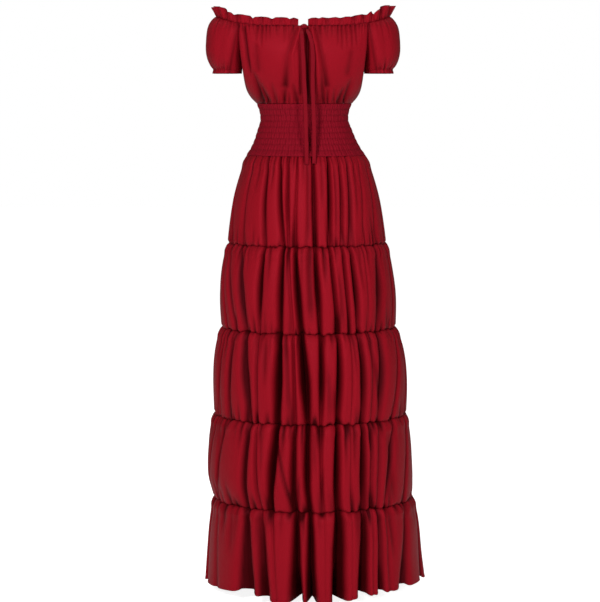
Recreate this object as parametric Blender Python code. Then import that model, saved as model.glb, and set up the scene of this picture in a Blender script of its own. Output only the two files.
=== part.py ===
"""Full-length off-shoulder peasant gown in crimson cloth, hollow and hanging as it is worn.

Units are metres, +Z is up and the front of the gown faces -Y. The origin is the middle of the
elastic neckline, level with the tops of the sleeves. Angles round the gown are in degrees from
the centre front towards +X. Every piece of cloth is a wall of one thickness with open ends.
"""
import math

import bpy
import numpy as np

WALL = 0.0014
SEAM_GAP = 0.0003
MITRE_LIMIT = 2.4

# Neckline: a rounded ring that goes round both upper arms and dips at front and back.
NECK_HALF_WIDTH = 0.201
NECK_HALF_DEPTH = 0.105
NECK_SQUARENESS = 2.4
NECK_DIP_FRONT = 0.024
NECK_DIP_BACK = 0.034
NOTCH_WIDTH = 0.022
NECK_SEGMENTS_FRONT_HALF = 8
NECK_SEGMENTS_OVER_ARM = 12
NECK_SEGMENTS_BACK_HALF = 9
CURVE_SAMPLES = 4001

# Armhole seams, from the underarm up to the neckline.
ARMHOLE_TOP_X = 0.147
UNDERARM_X = 0.139
UNDERARM_Z = -0.088
ARMHOLE_SEGMENTS = 5
UNDERARM_SEAM_TURN = 78.0
UNDERARM_SEAM_WALL = 2.2

# Bodice.
WAIST_TOP_Z = -0.200
BODICE_ROWS = (0.0, 0.10, 0.26, 0.46, 0.66, 0.83, 0.95, 1.0)
BODICE_TAPER = 2.2
BODICE_SIDE_SHARE = 28.0
BUST_BULGE = 0.026
BACK_BULGE = 0.012
BODICE_SIDE_BULGE = 0.0075
BODICE_SIDE_POWER = 2.4
BODICE_CORNER_TUCK = 0.0010
BODICE_GATHER = 0.0022
BODICE_WAIST_GATHER = 0.0034

# Sleeves.
CUFF_CENTRE_X = 0.1762
CUFF_Z = -0.127
CUFF_HALF_WIDTH = 0.0345
CUFF_HALF_DEPTH = 0.052
CUFF_PINCH = 0.0028
SLEEVE_ROWS = (0.0, 0.10, 0.28, 0.52, 0.78, 0.90, 1.0)
SLEEVE_ELASTIC_ROW = 0.90
SLEEVE_PUFF_OUT = 0.018
SLEEVE_PUFF_FRONT = 0.011
SLEEVE_PUFF_FULLNESS = 3.0
SLEEVE_ARMHOLE_ARC = 78.0
SLEEVE_GATHER = 0.0016

# Neck frill: one wave for each two segments of the neckline.
FRILL_HEIGHT_FRONT = 0.0155
FRILL_HEIGHT_SHOULDER = 0.0215
FRILL_WAVE = 0.0036
FRILL_TOP_WAVE = 0.0022
FRILL_LEAN = 0.0045

# Waistband: rows of elastic shirring, with the cloth puffed out between them.
SHIRRED_ROWS = 9
SHIRR_RAISE = 0.0018
SHIRR_PUCKER = 0.0005
WAISTBAND_COLUMNS = 48
WAISTBAND_START = 0.37
WAISTBAND_SHAPE = (
    # z, half_width, half_depth, shift
    (-0.2003, 0.1100, 0.0895, 0.0030),
    (-0.2140, 0.1045, 0.0860, 0.0030),
    (-0.2350, 0.1015, 0.0835, 0.0032),
    (-0.2600, 0.1090, 0.0895, 0.0042),
    (-0.2830, 0.1175, 0.0965, 0.0055),
    (-0.3060, 0.1290, 0.1060, 0.0065),
    (-0.3187, 0.1380, 0.1145, 0.0068),
)

# Skirt: the height and outline of each ring of each tier.
SKIRT_DEPTH_SHARE = 0.83
SEAM_FOLD_SHARE = 0.38
TIER_RINGS = {
    # part of the tier's height, half_width, shift
    "skirt_tier_1": ((0.0, 0.1390, 0.0070), (0.22, 0.1555, 0.0080), (0.5, 0.1715, 0.0080),
                     (0.8, 0.1815, 0.0088), (1.0, 0.1845, 0.0095)),
    "skirt_tier_2": ((0.0, 0.1845, 0.0095), (0.24, 0.1990, 0.0096), (0.70, 0.2080, 0.0118),
                     (1.0, 0.2040, 0.0130)),
    "skirt_tier_3": ((0.0, 0.2040, 0.0130), (0.24, 0.2220, 0.0150), (0.70, 0.2300, 0.0168),
                     (1.0, 0.2270, 0.0170)),
    "skirt_tier_4": ((0.0, 0.2270, 0.0170), (0.24, 0.2385, 0.0162), (0.70, 0.2440, 0.0176),
                     (1.0, 0.2365, 0.0246)),
    "skirt_tier_5": ((0.0, 0.2365, 0.0246), (0.24, 0.2480, 0.0262), (0.70, 0.2575, 0.0270),
                     (1.0, 0.2640, 0.0285)),
}
LEVEL_Z = (-0.319, -0.523, -0.7205, -0.9265, -1.1265, -1.334)
# Valley between two folds at the waistband, at the four tier seams and at the hem, in degrees.
FOLD_LINES = (
    # waist, seam_1, seam_2, seam_3, seam_4, hem, half_width
    (-90.0, -69.0, -55.0, -57.0, -68.0, -62.0, 9.0),
    (-57.0, -54.0, -45.0, -38.0, -41.0, -38.0, 8.0),
    (-38.0, -32.0, -34.0, -32.5, -31.0, -27.0, 6.0),
    (-25.0, -17.0, -19.0, -20.0, -24.0, -20.0, 7.0),
    (-17.0, -13.0, -10.0, -9.0, -10.0, -10.0, 6.0),
    (-8.0, -8.5, -5.0, -1.5, -2.0, -2.0, 6.0),
    (6.0, 5.5, 7.5, 6.0, 6.0, 5.5, 5.0),
    (21.0, 16.0, 19.0, 16.0, 14.0, 12.0, 8.0),
    (32.0, 25.0, 27.0, 24.0, 21.5, 19.0, 5.0),
    (41.0, 32.0, 34.0, 32.0, 29.5, 26.0, 6.0),
    (56.0, 43.0, 42.0, 38.0, 34.5, 31.0, 5.0),
    (70.0, 58.0, 51.0, 44.0, 39.0, 36.0, 6.0),
    (83.0, 75.0, 71.0, 57.0, 44.0, 41.5, 6.0),
    (93.0, 89.0, 85.0, 75.0, 63.0, 52.0, 7.0),
    (106.0, 104.0, 100.0, 93.0, 84.0, 75.0, 9.0),
)
# Depth of the same valleys half way down each tier and at the hem, in millimetres.
FOLD_DEPTHS = (
    # tier_1, tier_2, tier_3, tier_4, tier_5, hem
    (10.0, 16.0, 16.0, 8.0, 4.0, 6.0),
    (7.0, 22.0, 22.0, 20.0, 28.0, 40.0),
    (15.0, 20.0, 7.0, 8.0, 16.0, 26.0),
    (14.0, 18.0, 30.0, 28.0, 3.0, 2.0),
    (8.0, 4.0, 7.0, 16.0, 26.0, 58.0),
    (4.0, 20.0, 32.0, 20.0, 24.0, 46.0),
    (13.0, 18.0, 18.0, 5.0, 1.0, 1.0),
    (16.0, 11.0, 20.0, 22.0, 32.0, 56.0),
    (10.0, 10.0, 3.0, 2.0, 1.0, 1.0),
    (13.0, 18.0, 18.0, 20.0, 24.0, 46.0),
    (5.0, 3.0, 6.0, 8.0, 3.0, 3.0),
    (5.0, 17.0, 18.0, 7.0, 13.0, 24.0),
    (4.0, 6.0, 9.0, 17.0, 5.0, 4.0),
    (6.0, 7.0, 7.0, 9.0, 14.0, 26.0),
    (7.0, 9.0, 11.0, 13.0, 16.0, 30.0),
)
# The other valleys go on evenly round the sides and back, each a little out of its place.
BACK_FOLDS = 14
BACK_STRAY = 2.6
BACK_HALF_WIDTH = 7.5
BACK_MEAN_DEPTH = (0.009, 0.014, 0.016, 0.017, 0.019, 0.034)
BACK_DEPTH_SWING = 0.5
SHOULDER_OF_VALLEY = 0.42
VALLEY_SHARPNESS = 1.7

# Drawstring: two flat ends of the neck tie, and their knot.
STRING_RADIUS = 0.0040
STRING_POINTS = 20
STRING_ENDS = {
    # x, y, z of points down the middle of each end
    "drawstring_end_left": ((0.0082, -0.1168, -0.0325), (0.0112, -0.1240, -0.0400),
                            (0.0150, -0.1288, -0.0480), (0.0205, -0.1328, -0.0720),
                            (0.0222, -0.1338, -0.1050), (0.0215, -0.1322, -0.1420),
                            (0.0222, -0.1290, -0.1800), (0.0238, -0.1265, -0.2200),
                            (0.0250, -0.1250, -0.2600), (0.0252, -0.1240, -0.3000),
                            (0.0250, -0.1232, -0.3350)),
    "drawstring_end_right": ((-0.0026, -0.1158, -0.0320), (-0.0034, -0.1222, -0.0400),
                             (-0.0032, -0.1272, -0.0480), (-0.0015, -0.1330, -0.0720),
                             (0.0005, -0.1342, -0.1050), (0.0020, -0.1326, -0.1420),
                             (0.0040, -0.1296, -0.1800), (0.0055, -0.1272, -0.2200),
                             (0.0065, -0.1258, -0.2600), (0.0075, -0.1248, -0.3000),
                             (0.0085, -0.1240, -0.3370)),
}
KNOT_CENTRE = (0.0022, -0.1133, -0.0264)
KNOT_HALF_SIZE = (0.0078, 0.0056, 0.0056)
KNOT_TURNS = 12
KNOT_RINGS = 7
KNOT_PLEAT = 0.10

FABRIC_COLOURS = {
    "bodice_front": (0.205, 0.005, 0.016),
    "bodice_back": (0.200, 0.005, 0.016),
    "sleeve_left": (0.210, 0.005, 0.016),
    "sleeve_right": (0.210, 0.005, 0.016),
    "neck_frill": (0.195, 0.005, 0.015),
    "waistband_smocked": (0.170, 0.004, 0.013),
    "skirt": (0.205, 0.005, 0.016),
    "drawstring": (0.150, 0.004, 0.012),
}


def clear_scene():
    """Remove every object that the file starts with."""
    for item in list(bpy.data.objects):
        bpy.data.objects.remove(item, do_unlink=True)


def cloth_material(name, colour):
    """Return a matte, slightly satin cloth material."""
    material = bpy.data.materials.new(name)
    material.use_nodes = True
    shader = material.node_tree.nodes["Principled BSDF"]
    shader.inputs["Base Color"].default_value = (*colour, 1.0)
    shader.inputs["Roughness"].default_value = 0.62
    shader.inputs["Sheen Weight"].default_value = 0.25
    material.diffuse_color = (*colour, 1.0)
    return material


def add_solid(name, points, faces, colour):
    """Add one named closed solid, shaded smooth, with its own material."""
    mesh = bpy.data.meshes.new(name)
    mesh.from_pydata([tuple(point) for point in points], [], [tuple(face) for face in faces])
    mesh.validate()
    for polygon in mesh.polygons:
        polygon.use_smooth = True
    mesh.materials.append(cloth_material(name + "_cloth", colour))
    solid = bpy.data.objects.new(name, mesh)
    bpy.context.scene.collection.objects.link(solid)
    return solid


def band_faces(lower, upper, closed):
    """Return the quads between two rows of point numbers."""
    count = len(lower)
    spans = count if closed else count - 1
    return [(lower[k], lower[(k + 1) % count], upper[(k + 1) % count], upper[k])
            for k in range(spans)]


def shorter_splits(grid):
    """Return for each cell whether its diagonal from lower left to upper right is the shorter."""
    upper = grid[:-1]
    lower = grid[1:]
    rising = np.linalg.norm(np.roll(upper, -1, axis=1) - lower, axis=2)
    falling = np.linalg.norm(upper - np.roll(lower, -1, axis=1), axis=2)
    return rising <= falling


def band_triangles(lower, upper, rising, closed):
    """Return the triangles between two rows of point numbers, each cell split as rising says."""
    count = len(lower)
    spans = count if closed else count - 1
    faces = []
    for k in range(spans):
        after = (k + 1) % count
        if rising[k]:
            faces += [(lower[k], lower[after], upper[after]), (lower[k], upper[after], upper[k])]
        else:
            faces += [(lower[k], lower[after], upper[k]), (lower[after], upper[after], upper[k])]
    return faces


def wall_solid(name, outer, inner, closed, colour):
    """Join an outer and an inner grid (rows from top to bottom) into one closed wall.

    The rows of both grids run towards +angle as seen from above, so that outer faces point out.
    The two grids share their columns, and the inner one may have fewer rows. Where they have
    the same rows, their cells are split along the same diagonals, so the wall stays even.
    """
    columns = outer.shape[1]
    outer_rows = [list(range(r * columns, (r + 1) * columns)) for r in range(outer.shape[0])]
    start = outer.shape[0] * columns
    inner_rows = [list(range(start + r * columns, start + (r + 1) * columns))
                  for r in range(inner.shape[0])]
    outer_splits = shorter_splits(outer)
    inner_splits = outer_splits if len(inner) == len(outer) else shorter_splits(inner)
    faces = []
    for top, bottom, rising in zip(outer_rows[:-1], outer_rows[1:], outer_splits):
        faces += band_triangles(bottom, top, rising, closed)
    for top, bottom, rising in zip(inner_rows[:-1], inner_rows[1:], inner_splits):
        faces += band_triangles(top, bottom, ~rising, closed)
    faces += band_faces(outer_rows[0], inner_rows[0], closed)
    faces += band_faces(inner_rows[-1], outer_rows[-1], closed)
    if not closed:
        first_outer = [row[0] for row in outer_rows]
        first_inner = [row[0] for row in inner_rows]
        last_outer = [row[-1] for row in outer_rows]
        last_inner = [row[-1] for row in inner_rows]
        faces += band_faces(first_inner, first_outer, False)
        faces += band_faces(last_outer, last_inner, False)
    points = np.concatenate([outer.reshape(-1, 3), inner.reshape(-1, 3)])
    return add_solid(name, points, faces, colour)


def unit(vectors):
    """Return the vectors at length 1."""
    length = np.linalg.norm(vectors, axis=-1, keepdims=True)
    return vectors / np.maximum(length, 1e-12)


def ring_inset(ring, thickness, closed=True):
    """Return a level ring moved in by the wall's thickness, mitred at its folds."""
    flat = ring[:, :2]
    if closed:
        before = flat - np.roll(flat, 1, axis=0)
        after = np.roll(flat, -1, axis=0) - flat
    else:
        steps = np.diff(flat, axis=0)
        before = np.concatenate([steps[:1], steps])
        after = np.concatenate([steps, steps[-1:]])
    before = unit(before)
    after = unit(after)
    normal_before = np.stack([before[:, 1], -before[:, 0]], axis=1)
    normal_after = np.stack([after[:, 1], -after[:, 0]], axis=1)
    normal = unit(normal_before + normal_after)
    cosine = np.sum(normal * normal_after, axis=1)
    reach = thickness * np.minimum(1.0 / np.maximum(cosine, 0.05), MITRE_LIMIT)
    inset = ring.copy()
    inset[:, :2] = flat - normal * reach[:, None]
    return inset


def oval_point(angle, half_width, half_depth, shift, depth=0.0):
    """Return x and y on an oval; depth moves the point in towards the middle."""
    turn = np.radians(angle)
    across = shift + (half_width - depth) * np.sin(turn)
    forward = -(half_depth - depth) * np.cos(turn)
    return across, forward


# Neckline and armholes

def neck_samples():
    """Return fine samples of the right half of the neckline, front to back, and their lengths."""
    turn = np.linspace(0.0, math.pi, CURVE_SAMPLES)
    power = 2.0 / NECK_SQUARENESS
    across = NECK_HALF_WIDTH * np.abs(np.sin(turn)) ** power
    forward = -NECK_HALF_DEPTH * np.sign(np.cos(turn)) * np.abs(np.cos(turn)) ** power
    dip = np.where(forward < 0.0, NECK_DIP_FRONT, NECK_DIP_BACK)
    height = -dip * (1.0 - (across / NECK_HALF_WIDTH) ** 4)
    samples = np.stack([across, forward, height], axis=1)
    steps = np.linalg.norm(np.diff(samples, axis=0), axis=1)
    return samples, np.concatenate([[0.0], np.cumsum(steps)])


NECK_CURVE, NECK_LENGTH = neck_samples()
NECK_BACK_CENTRE = float(NECK_LENGTH[-1])


def neck_place(across, at_back):
    """Return the length along the neckline at a distance across, on its front or back."""
    half = int(np.argmax(NECK_CURVE[:, 0]))
    if at_back:
        return float(np.interp(-across, -NECK_CURVE[half:, 0], NECK_LENGTH[half:]))
    return float(np.interp(across, NECK_CURVE[:half, 0], NECK_LENGTH[:half]))


def neck_point(lengths):
    """Return points of the neckline and its level outward normals at signed lengths."""
    lengths = np.asarray(lengths, dtype=float)
    side = np.where(lengths < 0.0, -1.0, 1.0)
    reach = np.abs(lengths)
    point = np.stack([np.interp(reach, NECK_LENGTH, NECK_CURVE[:, k]) for k in range(3)], axis=1)
    tangent = np.gradient(NECK_CURVE, axis=0)
    along = np.stack([np.interp(reach, NECK_LENGTH, tangent[:, k]) for k in range(2)], axis=1)
    normal = unit(np.stack([along[:, 1], -along[:, 0]], axis=1))
    point[:, 0] *= side
    normal[:, 0] *= side
    return point, np.concatenate([normal, np.zeros((len(lengths), 1))], axis=1)


NECK_AT_NOTCH = neck_place(NOTCH_WIDTH / 2.0, False)
NECK_AT_ARM_FRONT = neck_place(ARMHOLE_TOP_X, False)
NECK_AT_ARM_BACK = neck_place(ARMHOLE_TOP_X, True)


def neck_lengths_front_half():
    """Return the neckline stations from the notch to the front of the armhole."""
    return np.linspace(NECK_AT_NOTCH, NECK_AT_ARM_FRONT, NECK_SEGMENTS_FRONT_HALF + 1)


def neck_lengths_over_arm():
    """Return the neckline stations over one arm, from front to back."""
    return np.linspace(NECK_AT_ARM_FRONT, NECK_AT_ARM_BACK, NECK_SEGMENTS_OVER_ARM + 1)


def neck_lengths_back_half():
    """Return the neckline stations from the back of the armhole to the centre back."""
    return np.linspace(NECK_AT_ARM_BACK, NECK_BACK_CENTRE, NECK_SEGMENTS_BACK_HALF + 1)


def armhole_seam(at_back):
    """Return the right armhole seam from the underarm up, and the wall's direction along it.

    Both panels that meet here share the direction, so their edges face each other squarely.
    """
    place = NECK_AT_ARM_BACK if at_back else NECK_AT_ARM_FRONT
    top, _ = neck_point([place])
    top = top[0]
    part = np.linspace(0.0, 1.0, ARMHOLE_SEGMENTS + 1)
    rise = 1.0 - np.cos(part * math.pi / 2.0)
    slope = (top[0] - UNDERARM_X) / (top[2] - UNDERARM_Z)
    height = UNDERARM_Z + (top[2] - UNDERARM_Z) * rise
    across = UNDERARM_X + slope * (height - UNDERARM_Z)
    forward = top[1] * np.sin(part * math.pi / 2.0)
    turn = np.radians((1.0 - part) * UNDERARM_SEAM_TURN)
    sign = 1.0 if at_back else -1.0
    out = np.stack([-slope * np.sin(turn), sign * np.cos(turn), -np.sin(turn)], axis=1)
    thick = WALL * (1.0 + (UNDERARM_SEAM_WALL - 1.0) * np.sin(turn))
    seam = np.stack([across, forward, height], axis=1)
    return seam, out * thick[:, None]


def waistband_at(height):
    """Return half width, half depth and shift of the waistband's oval at a height."""
    table = np.array(WAISTBAND_SHAPE)
    key = -table[:, 0]
    return [np.interp(-np.asarray(height), key, table[:, k]) for k in (1, 2, 3)]


def grid_normals(grid, closed):
    """Return the outward unit normals of a grid of rows by columns."""
    if closed:
        along = np.roll(grid, -1, axis=1) - np.roll(grid, 1, axis=1)
    else:
        along = np.gradient(grid, axis=1)
    down = np.gradient(grid, axis=0)
    return unit(np.cross(down, along))


def bodice_panel(at_back):
    """Return the outer and inner grids of the front or back bodice panel.

    A column runs from the armhole seam or the neckline down to the waistband:
    point = top * (1 - v**taper) + waist * v**taper across the body, evenly down, plus a bulge.
    """
    seam, seam_wall = armhole_seam(at_back)
    if at_back:
        half = neck_lengths_back_half()[:-1]
        lengths = np.concatenate([-half, [NECK_BACK_CENTRE], half[::-1]])
        bulge = BACK_BULGE
        centre = 180.0
    else:
        half = neck_lengths_front_half()
        lengths = np.concatenate([-half[::-1], half])
        bulge = BUST_BULGE
        centre = 0.0
    neck, neck_out = neck_point(lengths)
    mirror = np.array([-1.0, 1.0, 1.0])
    gap = np.array([SEAM_GAP / 2.0, 0.0, 0.0])
    right = seam[:-1] - gap
    left = right * mirror
    top = np.concatenate([left, neck, right[::-1]])
    wall = np.concatenate([seam_wall[:-1] * mirror, neck_out * WALL, seam_wall[:-1][::-1]])
    corner = ARMHOLE_SEGMENTS
    top[corner] = (seam[-1] - gap) * mirror
    top[-1 - corner] = seam[-1] - gap
    wall[corner] = seam_wall[-1] * mirror
    wall[-1 - corner] = seam_wall[-1]
    count = len(top)
    side_turn = 90.0 - BODICE_SIDE_SHARE
    middle = np.linspace(-side_turn, side_turn, len(neck))
    flank = np.linspace(-90.0, -side_turn, corner + 1)[:-1]
    turn = np.concatenate([flank, middle, -flank[::-1]])
    if at_back:
        turn = centre - turn
    half_width, half_depth, shift = waistband_at(WAIST_TOP_Z)
    across, forward = oval_point(turn, half_width, half_depth, shift)
    waist = np.stack([across, forward, np.full(count, WAIST_TOP_Z)], axis=1)
    window = np.cos(np.linspace(-1.0, 1.0, count) * math.pi / 2.0) ** 0.6
    front_sign = 1.0 if at_back else -1.0
    gather_sign = np.where(np.arange(count) % 2 == 0, 1.0, -1.0)
    gather_sign[:corner + 1] = 0.0
    gather_sign[count - corner - 1:] = 0.0
    tuck = np.zeros(count)
    tuck[:corner] = WALL
    tuck[count - corner:] = WALL
    tuck[[corner, count - 1 - corner]] = BODICE_CORNER_TUCK
    rows = []
    for v in BODICE_ROWS:
        share = v ** BODICE_TAPER
        row = top * (1.0 - share) + waist * share
        row[:, 2] = top[:, 2] * (1.0 - v) + waist[:, 2] * v
        row[:, 1] += front_sign * bulge * math.sin(math.pi * v ** 0.8) * window
        side_puff = BODICE_SIDE_BULGE * math.sin(math.pi * v ** BODICE_SIDE_POWER)
        row[:, 0] += side_puff * np.sign(row[:, 0]) * np.sin(np.radians(turn)) ** 2
        wave = BODICE_GATHER * math.exp(-((v - 0.10) / 0.12) ** 2)
        wave += BODICE_WAIST_GATHER * math.exp(-((v - 0.95) / 0.16) ** 2)
        if v == 0.0:
            wave = 0.0
        fade = 0.5 if v == 1.0 else 1.0
        outward = unit(np.stack([row[:, 0] * 0.6, row[:, 1], np.zeros(count)], axis=1))
        row = row + outward * (wave * fade * gather_sign)[:, None]
        row[-1, 1] = 0.0
        row[0, 1] = 0.0
        rows.append(row)
    outer = np.array(rows)
    if at_back:
        outer = outer[:, ::-1]
        wall = wall[::-1]
    inner = outer - grid_normals(outer, False) * WALL
    inner[0] = outer[0] - wall
    inner[0, :, 0] -= np.sign(outer[0, :, 0]) * tuck
    inner[-1] = ring_inset(outer[-1], WALL, False)
    side = SEAM_GAP / 2.0
    for column in (0, -1):
        outward = math.copysign(1.0, outer[-1, column, 0])
        inner[1:, column] = outer[1:, column] - np.array([outward * WALL, 0.0, 0.0])
        outer[:, column, 1] = front_sign * side
        inner[:, column, 1] = front_sign * side
    return outer, inner


def build_bodice():
    """Build the front and back panels of the bodice."""
    for name, at_back in (("bodice_front", False), ("bodice_back", True)):
        outer, inner = bodice_panel(at_back)
        wall_solid(name, outer, inner, False, FABRIC_COLOURS[name])


def sleeve_loop():
    """Return the top edge of the left sleeve as a loop, its wall and its turn at the cuff.

    The loop starts at the underarm and goes up the front, over the arm and down the back.
    """
    front, front_wall = armhole_seam(False)
    back, back_wall = armhole_seam(True)
    gap = np.array([SEAM_GAP / 2.0, 0.0, 0.0])
    neck, neck_out = neck_point(neck_lengths_over_arm())
    neck_wall = neck_out * WALL
    neck[0] = front[-1] + gap
    neck[-1] = back[-1] + gap
    neck_wall[0] = front_wall[-1]
    neck_wall[-1] = back_wall[-1]
    top = np.concatenate([front[:-1] + gap, neck, (back[1:-1] + gap)[::-1]])
    wall = np.concatenate([front_wall[:-1], neck_wall, back_wall[1:-1][::-1]])
    seam_turns = np.linspace(0.0, SLEEVE_ARMHOLE_ARC, ARMHOLE_SEGMENTS + 1)
    over_turns = np.linspace(SLEEVE_ARMHOLE_ARC, 360.0 - SLEEVE_ARMHOLE_ARC, len(neck))
    turns = np.concatenate([seam_turns[:-1], over_turns, (360.0 - seam_turns[1:-1])[::-1]])
    return top, wall, turns


def sleeve_grids():
    """Return the outer and inner grids of the left sleeve.

    A column runs from the top edge to the cuff, point = top * (1 - v) + cuff * v. It is puffed
    out by 1 - |2 d**0.85 - 1|**fullness, d being the share of the way to the elastic line,
    pinched at that line and left wider at the very edge.
    """
    top, wall, turns = sleeve_loop()
    angle = np.radians(turns)
    radial = np.stack([-np.cos(angle), -np.sin(angle), np.zeros(len(turns))], axis=1)
    cuff = np.stack([CUFF_CENTRE_X + radial[:, 0] * CUFF_HALF_WIDTH,
                     radial[:, 1] * CUFF_HALF_DEPTH,
                     np.full(len(turns), CUFF_Z)], axis=1)
    outside = (1.0 - np.cos(angle)) / 2.0
    sideways = np.abs(np.sin(angle))
    puff = SLEEVE_PUFF_OUT * outside ** 1.5 + SLEEVE_PUFF_FRONT * sideways * (0.35 + 0.65 * outside)
    swell_way = radial.copy()
    swell_way[:, 0] = np.maximum(radial[:, 0], 0.0)
    wave_sign = np.where(np.arange(len(turns)) % 2 == 0, 1.0, -1.0) * outside
    rows = []
    for v in SLEEVE_ROWS:
        row = top * (1.0 - v) + cuff * v
        down = min(v / SLEEVE_ELASTIC_ROW, 1.0)
        swell = 1.0 - abs(2.0 * down ** 0.85 - 1.0) ** SLEEVE_PUFF_FULLNESS
        row = row + swell_way * (puff * swell)[:, None]
        if v == SLEEVE_ELASTIC_ROW:
            row = row - radial * CUFF_PINCH
        if 0.0 < v < SLEEVE_ELASTIC_ROW:
            row = row + swell_way * (SLEEVE_GATHER * wave_sign * abs(math.cos(math.pi * v)))[:, None]
        rows.append(row)
    outer = np.array(rows)
    inner = outer - grid_normals(outer, True) * WALL
    inner[0] = outer[0] - wall
    inner[-1] = ring_inset(outer[-1], WALL)
    return outer, inner


def build_sleeves():
    """Build the wearer's left sleeve and its mirror image."""
    outer, inner = sleeve_grids()
    wall_solid("sleeve_left", outer, inner, True, FABRIC_COLOURS["sleeve_left"])
    mirror = np.array([-1.0, 1.0, 1.0])
    wall_solid("sleeve_right", (outer * mirror)[:, ::-1], (inner * mirror)[:, ::-1], True,
               FABRIC_COLOURS["sleeve_right"])


def build_neck_frill():
    """Build the frill that stands above the neck elastic, open at the notch.

    Its lowest ring follows the panels' top edges a seam's gap above them. Higher rings swing
    in and out, one wave for each two stations, and the top edge rises and falls a little.
    """
    half = np.concatenate([neck_lengths_front_half()[:-1], neck_lengths_over_arm()[:-1],
                           neck_lengths_back_half()])
    stations = np.concatenate([half, -half[:-1][::-1]])
    base, base_out = neck_point(stations)
    between = (base[1:] + base[:-1]) / 2.0
    between_out = unit(base_out[1:] + base_out[:-1])
    count = 2 * len(stations) - 1
    foot = np.zeros((count, 3))
    out = np.zeros((count, 3))
    foot[0::2] = base
    foot[1::2] = between
    out[0::2] = base_out
    out[1::2] = between_out
    foot[:, 2] += SEAM_GAP
    step = np.arange(count)
    swing = np.sin(step * math.pi / 2.0)
    sideways = (np.abs(foot[:, 0]) / NECK_HALF_WIDTH) ** 3
    height = FRILL_HEIGHT_FRONT + (FRILL_HEIGHT_SHOULDER - FRILL_HEIGHT_FRONT) * sideways
    height = height + FRILL_TOP_WAVE * np.cos(step * math.pi / 4.0 + 0.6)
    rows = []
    for v in (1.0, 0.45, 0.0):
        row = foot.copy()
        row[:, 2] += height * v
        row += out * (FRILL_LEAN * v ** 1.5 * (0.4 + sideways) + FRILL_WAVE * swing * v)[:, None]
        rows.append(row)
    outer = np.array(rows)
    inner = np.array([ring_inset(row, WALL, False) for row in rows])
    inner[-1] = foot - out * WALL
    wall_solid("neck_frill", outer, inner, False, FABRIC_COLOURS["neck_frill"])


def build_waistband():
    """Build the smocked waistband: raised rows outside, plain inside."""
    turn = (np.arange(WAISTBAND_COLUMNS) + WAISTBAND_START) * 360.0 / WAISTBAND_COLUMNS
    top = WAISTBAND_SHAPE[0][0]
    bottom = WAISTBAND_SHAPE[-1][0]
    rings = 2 * SHIRRED_ROWS + 1
    outer = []
    for number in range(rings):
        height = top + (bottom - top) * number / (rings - 1)
        half_width, half_depth, shift = waistband_at(height)
        way = np.where((np.arange(WAISTBAND_COLUMNS) + number // 2) % 2 == 0, 1.0, -1.0)
        raised = SHIRR_RAISE + SHIRR_PUCKER * way if number % 2 == 1 else 0.0
        across, forward = oval_point(turn, half_width, half_depth, shift, -raised)
        outer.append(np.stack([across, forward, np.full(WAISTBAND_COLUMNS, height)], axis=1))
    inner = []
    for height, half_width, half_depth, shift in WAISTBAND_SHAPE:
        across, forward = oval_point(turn, half_width, half_depth, shift)
        ring = np.stack([across, forward, np.full(WAISTBAND_COLUMNS, height)], axis=1)
        inner.append(ring_inset(ring, WALL))
    wall_solid("waistband_smocked", np.array(outer), np.array(inner), True,
               FABRIC_COLOURS["waistband_smocked"])


# Skirt

def fold_table():
    """Return valley angles at the six levels, depths in metres and half widths, all round."""
    lines = np.array(FOLD_LINES)
    depths = np.array(FOLD_DEPTHS) / 1000.0
    number = np.arange(1, BACK_FOLDS + 1)[:, None]
    level = np.arange(lines.shape[1] - 1)[None, :]
    first = lines[-1, :-1]
    last = lines[0, :-1] + 360.0
    back_lines = first + (last - first) * number / (BACK_FOLDS + 1)
    back_lines = back_lines + BACK_STRAY * np.sin(2.3 * number + 0.7 * level)
    swing = 1.0 + BACK_DEPTH_SWING * np.sin(1.9 * number + 1.1 * level)
    angles = np.concatenate([lines[:, :-1], back_lines])
    widths = np.concatenate([lines[:, -1], np.full(BACK_FOLDS, BACK_HALF_WIDTH)])
    depth = np.concatenate([depths, np.array(BACK_MEAN_DEPTH) * swing])
    return angles, depth, widths


def tier_depths(number, depth, part):
    """Return the depth of each valley at a part of a tier's height (0 at its top seam)."""
    here = depth[:, number]
    above = depth[:, max(number - 1, 0)]
    below = depth[:, number + 1]
    top = SEAM_FOLD_SHARE * (here + above) / 2.0
    if number == 4:
        bottom = below
    else:
        bottom = SEAM_FOLD_SHARE * (here + below) / 2.0
    if part <= 0.5:
        blend = math.sin(math.pi * part) ** 0.7
        return top + (here - top) * blend
    blend = math.sin(math.pi * (part - 0.5)) ** 2.2
    return here + (bottom - here) * blend


def fold_ring(height, half_width, shift, angles, depths, widths):
    """Return one ring of folds: an oval less a rounded valley at each angle.

    valley(t) = depth * (1 - t) ** sharpness, with t the distance in half widths. Each valley
    gives four points: its foot, a point part way up each side and the crest beyond it.
    """
    after = np.roll(angles, -1)
    after[-1] += 360.0
    space = after - angles
    before = np.roll(space, 1)
    right = np.minimum(widths, space / 2.0)
    left = np.minimum(widths, before / 2.0)
    next_left = np.roll(left, -1)
    half_way = (1.0 - SHOULDER_OF_VALLEY) ** VALLEY_SHARPNESS
    turn = np.stack([angles, angles + right * SHOULDER_OF_VALLEY, angles + space / 2.0,
                     after - next_left * SHOULDER_OF_VALLEY], axis=1).ravel()
    depth = np.stack([depths, depths * half_way, np.zeros(len(depths)),
                      np.roll(depths, -1) * half_way], axis=1).ravel()
    across, forward = oval_point(turn, half_width, half_width * SKIRT_DEPTH_SHARE, shift, depth)
    return np.stack([across, forward, np.full(len(turn), height)], axis=1)


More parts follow.
